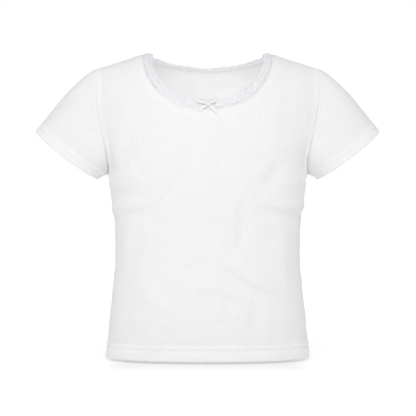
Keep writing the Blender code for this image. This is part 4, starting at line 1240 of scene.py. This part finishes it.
def make_ribbon(name, path, across_ribbon, widths, closed):
    """A strip of ribbon along a path, slightly hollow across, with selvedges."""
    path = np.asarray(path)
    along = unit(np.roll(path, -1, axis=0) - np.roll(path, 1, axis=0)) if closed else unit(np.gradient(path, axis=0))
    thick = unit(np.cross(along, across_ribbon))
    steps = np.linspace(-1.0, 1.0, 7)
    ring = [(s, 0.5 + SELVEDGE * (abs(s) > SELVEDGE_FROM) - HOLLOW * (1 - s * s)) for s in steps]
    ring += [(s, -0.5 - HOLLOW * (1 - s * s)) for s in steps[::-1]]
    points, places = [], []
    run = np.concatenate([[0.0], np.cumsum(np.linalg.norm(np.diff(path, axis=0), axis=1))])
    for centre, out, width, distance in zip(path, thick, widths, run):
        for s, t in ring:
            points.append(centre + across_ribbon * s * width / 2 + out * t * RIBBON_THICK)
            places.append((distance, s * width / 2))
    size, count = len(ring), len(path)
    faces = []
    for i in range(count if closed else count - 1):
        a, b = size * i, size * ((i + 1) % count)
        for k in range(size):
            m = (k + 1) % size
            faces.append([a + k, a + m, b + m, b + k])
    if not closed:
        faces += [list(range(size))[::-1], [size * (count - 1) + k for k in range(size)]]
    girth = run[-1] + np.linalg.norm(path[0] - path[-1]) if closed else None
    return add_piece(name, np.array(points), faces, satin, np.array(places), girth)


bow_spot, bow_out = on_lace(np.array([0.0]), np.array([LACE_WIDTH * BOW_UP_LACE]), -0.0002)
bow_out, bow_right = bow_out[0], np.array([1.0, 0.0, 0.0])
bow_up = np.cross(bow_right, -bow_out)
bow_middle = bow_spot[0] + BOW_ASIDE * bow_right + bow_out * (BOW_CLEARANCE + KNOT_SIZE[1] / 2)
from_knot = KNOT_SIZE[2] / 2 + BOW_CLEARANCE
for wing in WINGS:
    outwards = wing.side * bow_right
    sideways = outwards * math.cos(wing.loop_rise) + bow_up * math.sin(wing.loop_rise)
    upright = bow_up * math.cos(wing.loop_rise) - outwards * math.sin(wing.loop_rise)
    turns = np.linspace(-math.pi, math.pi, 56, endpoint=False)
    tip = np.abs(turns) < math.pi / 2
    radius = np.where(tip, LOOP_TIP, LOOP_ROOT)
    reach = np.where(tip, wing.loop_length - LOOP_TIP, LOOP_ROOT) + radius * np.cos(turns)
    start = bow_middle + sideways * (from_knot - LOOP_IN) - bow_out * LOOP_BACK
    loop = start + reach[:, None] * sideways + (radius * np.sin(turns))[:, None] * bow_out
    widths = RIBBON_WIDTH * (PINCH + (1 - PINCH) * (reach / wing.loop_length) ** 0.6)
    piece = make_ribbon(f"ribbon_loop_{wing.word}", loop, upright, widths, closed=True)
    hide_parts(f"bow_loop_{wing.word}")

    falling = outwards * math.cos(wing.tail_drop) - bow_up * math.sin(wing.tail_drop)
    level_way = bow_up * math.cos(wing.tail_drop) + outwards * math.sin(wing.tail_drop)
    steps = np.linspace(0.0, 1.0, 26)
    start = bow_middle - bow_out * TAIL_BACK + (from_knot - TAIL_IN) * falling
    tail = start + steps[:, None] * (wing.tail_length + TAIL_HIDDEN) * falling
    cloth = form(*seen_at(FRONT, tail[:, 0], tail[:, 2]), FRONT)
    resting = cloth[:, 1] - TAIL_OFF_CLOTH - TAIL_WAVE * np.sin(steps * 7.0)
    tail[:, 1] += smooth(steps, 0.0, 0.5) * (resting - tail[:, 1])
    widths = RIBBON_WIDTH * (PINCH + (1 - PINCH) * smooth(steps, 0.0, 0.4))
    piece = make_ribbon(f"ribbon_tail_{wing.word}", tail, level_way, widths, closed=False)
    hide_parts(f"bow_tail_{wing.word}")

KNOT_ROWS, KNOT_COLUMNS = 18, 32
KNOT_WRAP = 0.004  # the thickness by which the weave is laid round the knot
points, faces, places = [], [], []
for row in range(1, KNOT_ROWS):
    lift = math.pi * row / KNOT_ROWS - math.pi / 2
    for column in range(KNOT_COLUMNS):
        turn = 2 * math.pi * column / KNOT_COLUMNS
        # Three wraps of the ribbon show as soft rolls, and the ends are drawn in
        bulge = 1 + 0.05 * math.cos(3 * math.pi * math.sin(lift)) - 0.06 * abs(math.sin(lift)) ** 3
        spread = math.cos(lift) ** 0.7 * bulge
        spot = (math.cos(turn) * spread, math.sin(turn) * spread, math.sin(lift))
        scaled = [spot[k] * KNOT_SIZE[k] / 2 for k in range(3)]
        points.append(bow_middle + scaled[0] * bow_right - scaled[1] * bow_out + scaled[2] * bow_up)
        places.append((turn * KNOT_WRAP / 2, lift * KNOT_WRAP / 2))
for row in range(KNOT_ROWS - 2):
    for column in range(KNOT_COLUMNS):
        a, b = row * KNOT_COLUMNS, (row + 1) * KNOT_COLUMNS
        following = (column + 1) % KNOT_COLUMNS
        faces.append([a + column, a + following, b + following, b + column])
faces.append(list(range(KNOT_COLUMNS))[::-1])
faces.append([(KNOT_ROWS - 2) * KNOT_COLUMNS + column for column in range(KNOT_COLUMNS)])
ribbon_knot = add_piece("ribbon_knot", np.array(points), faces, satin, np.array(places), KNOT_WRAP * math.pi)
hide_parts("bow_knot")
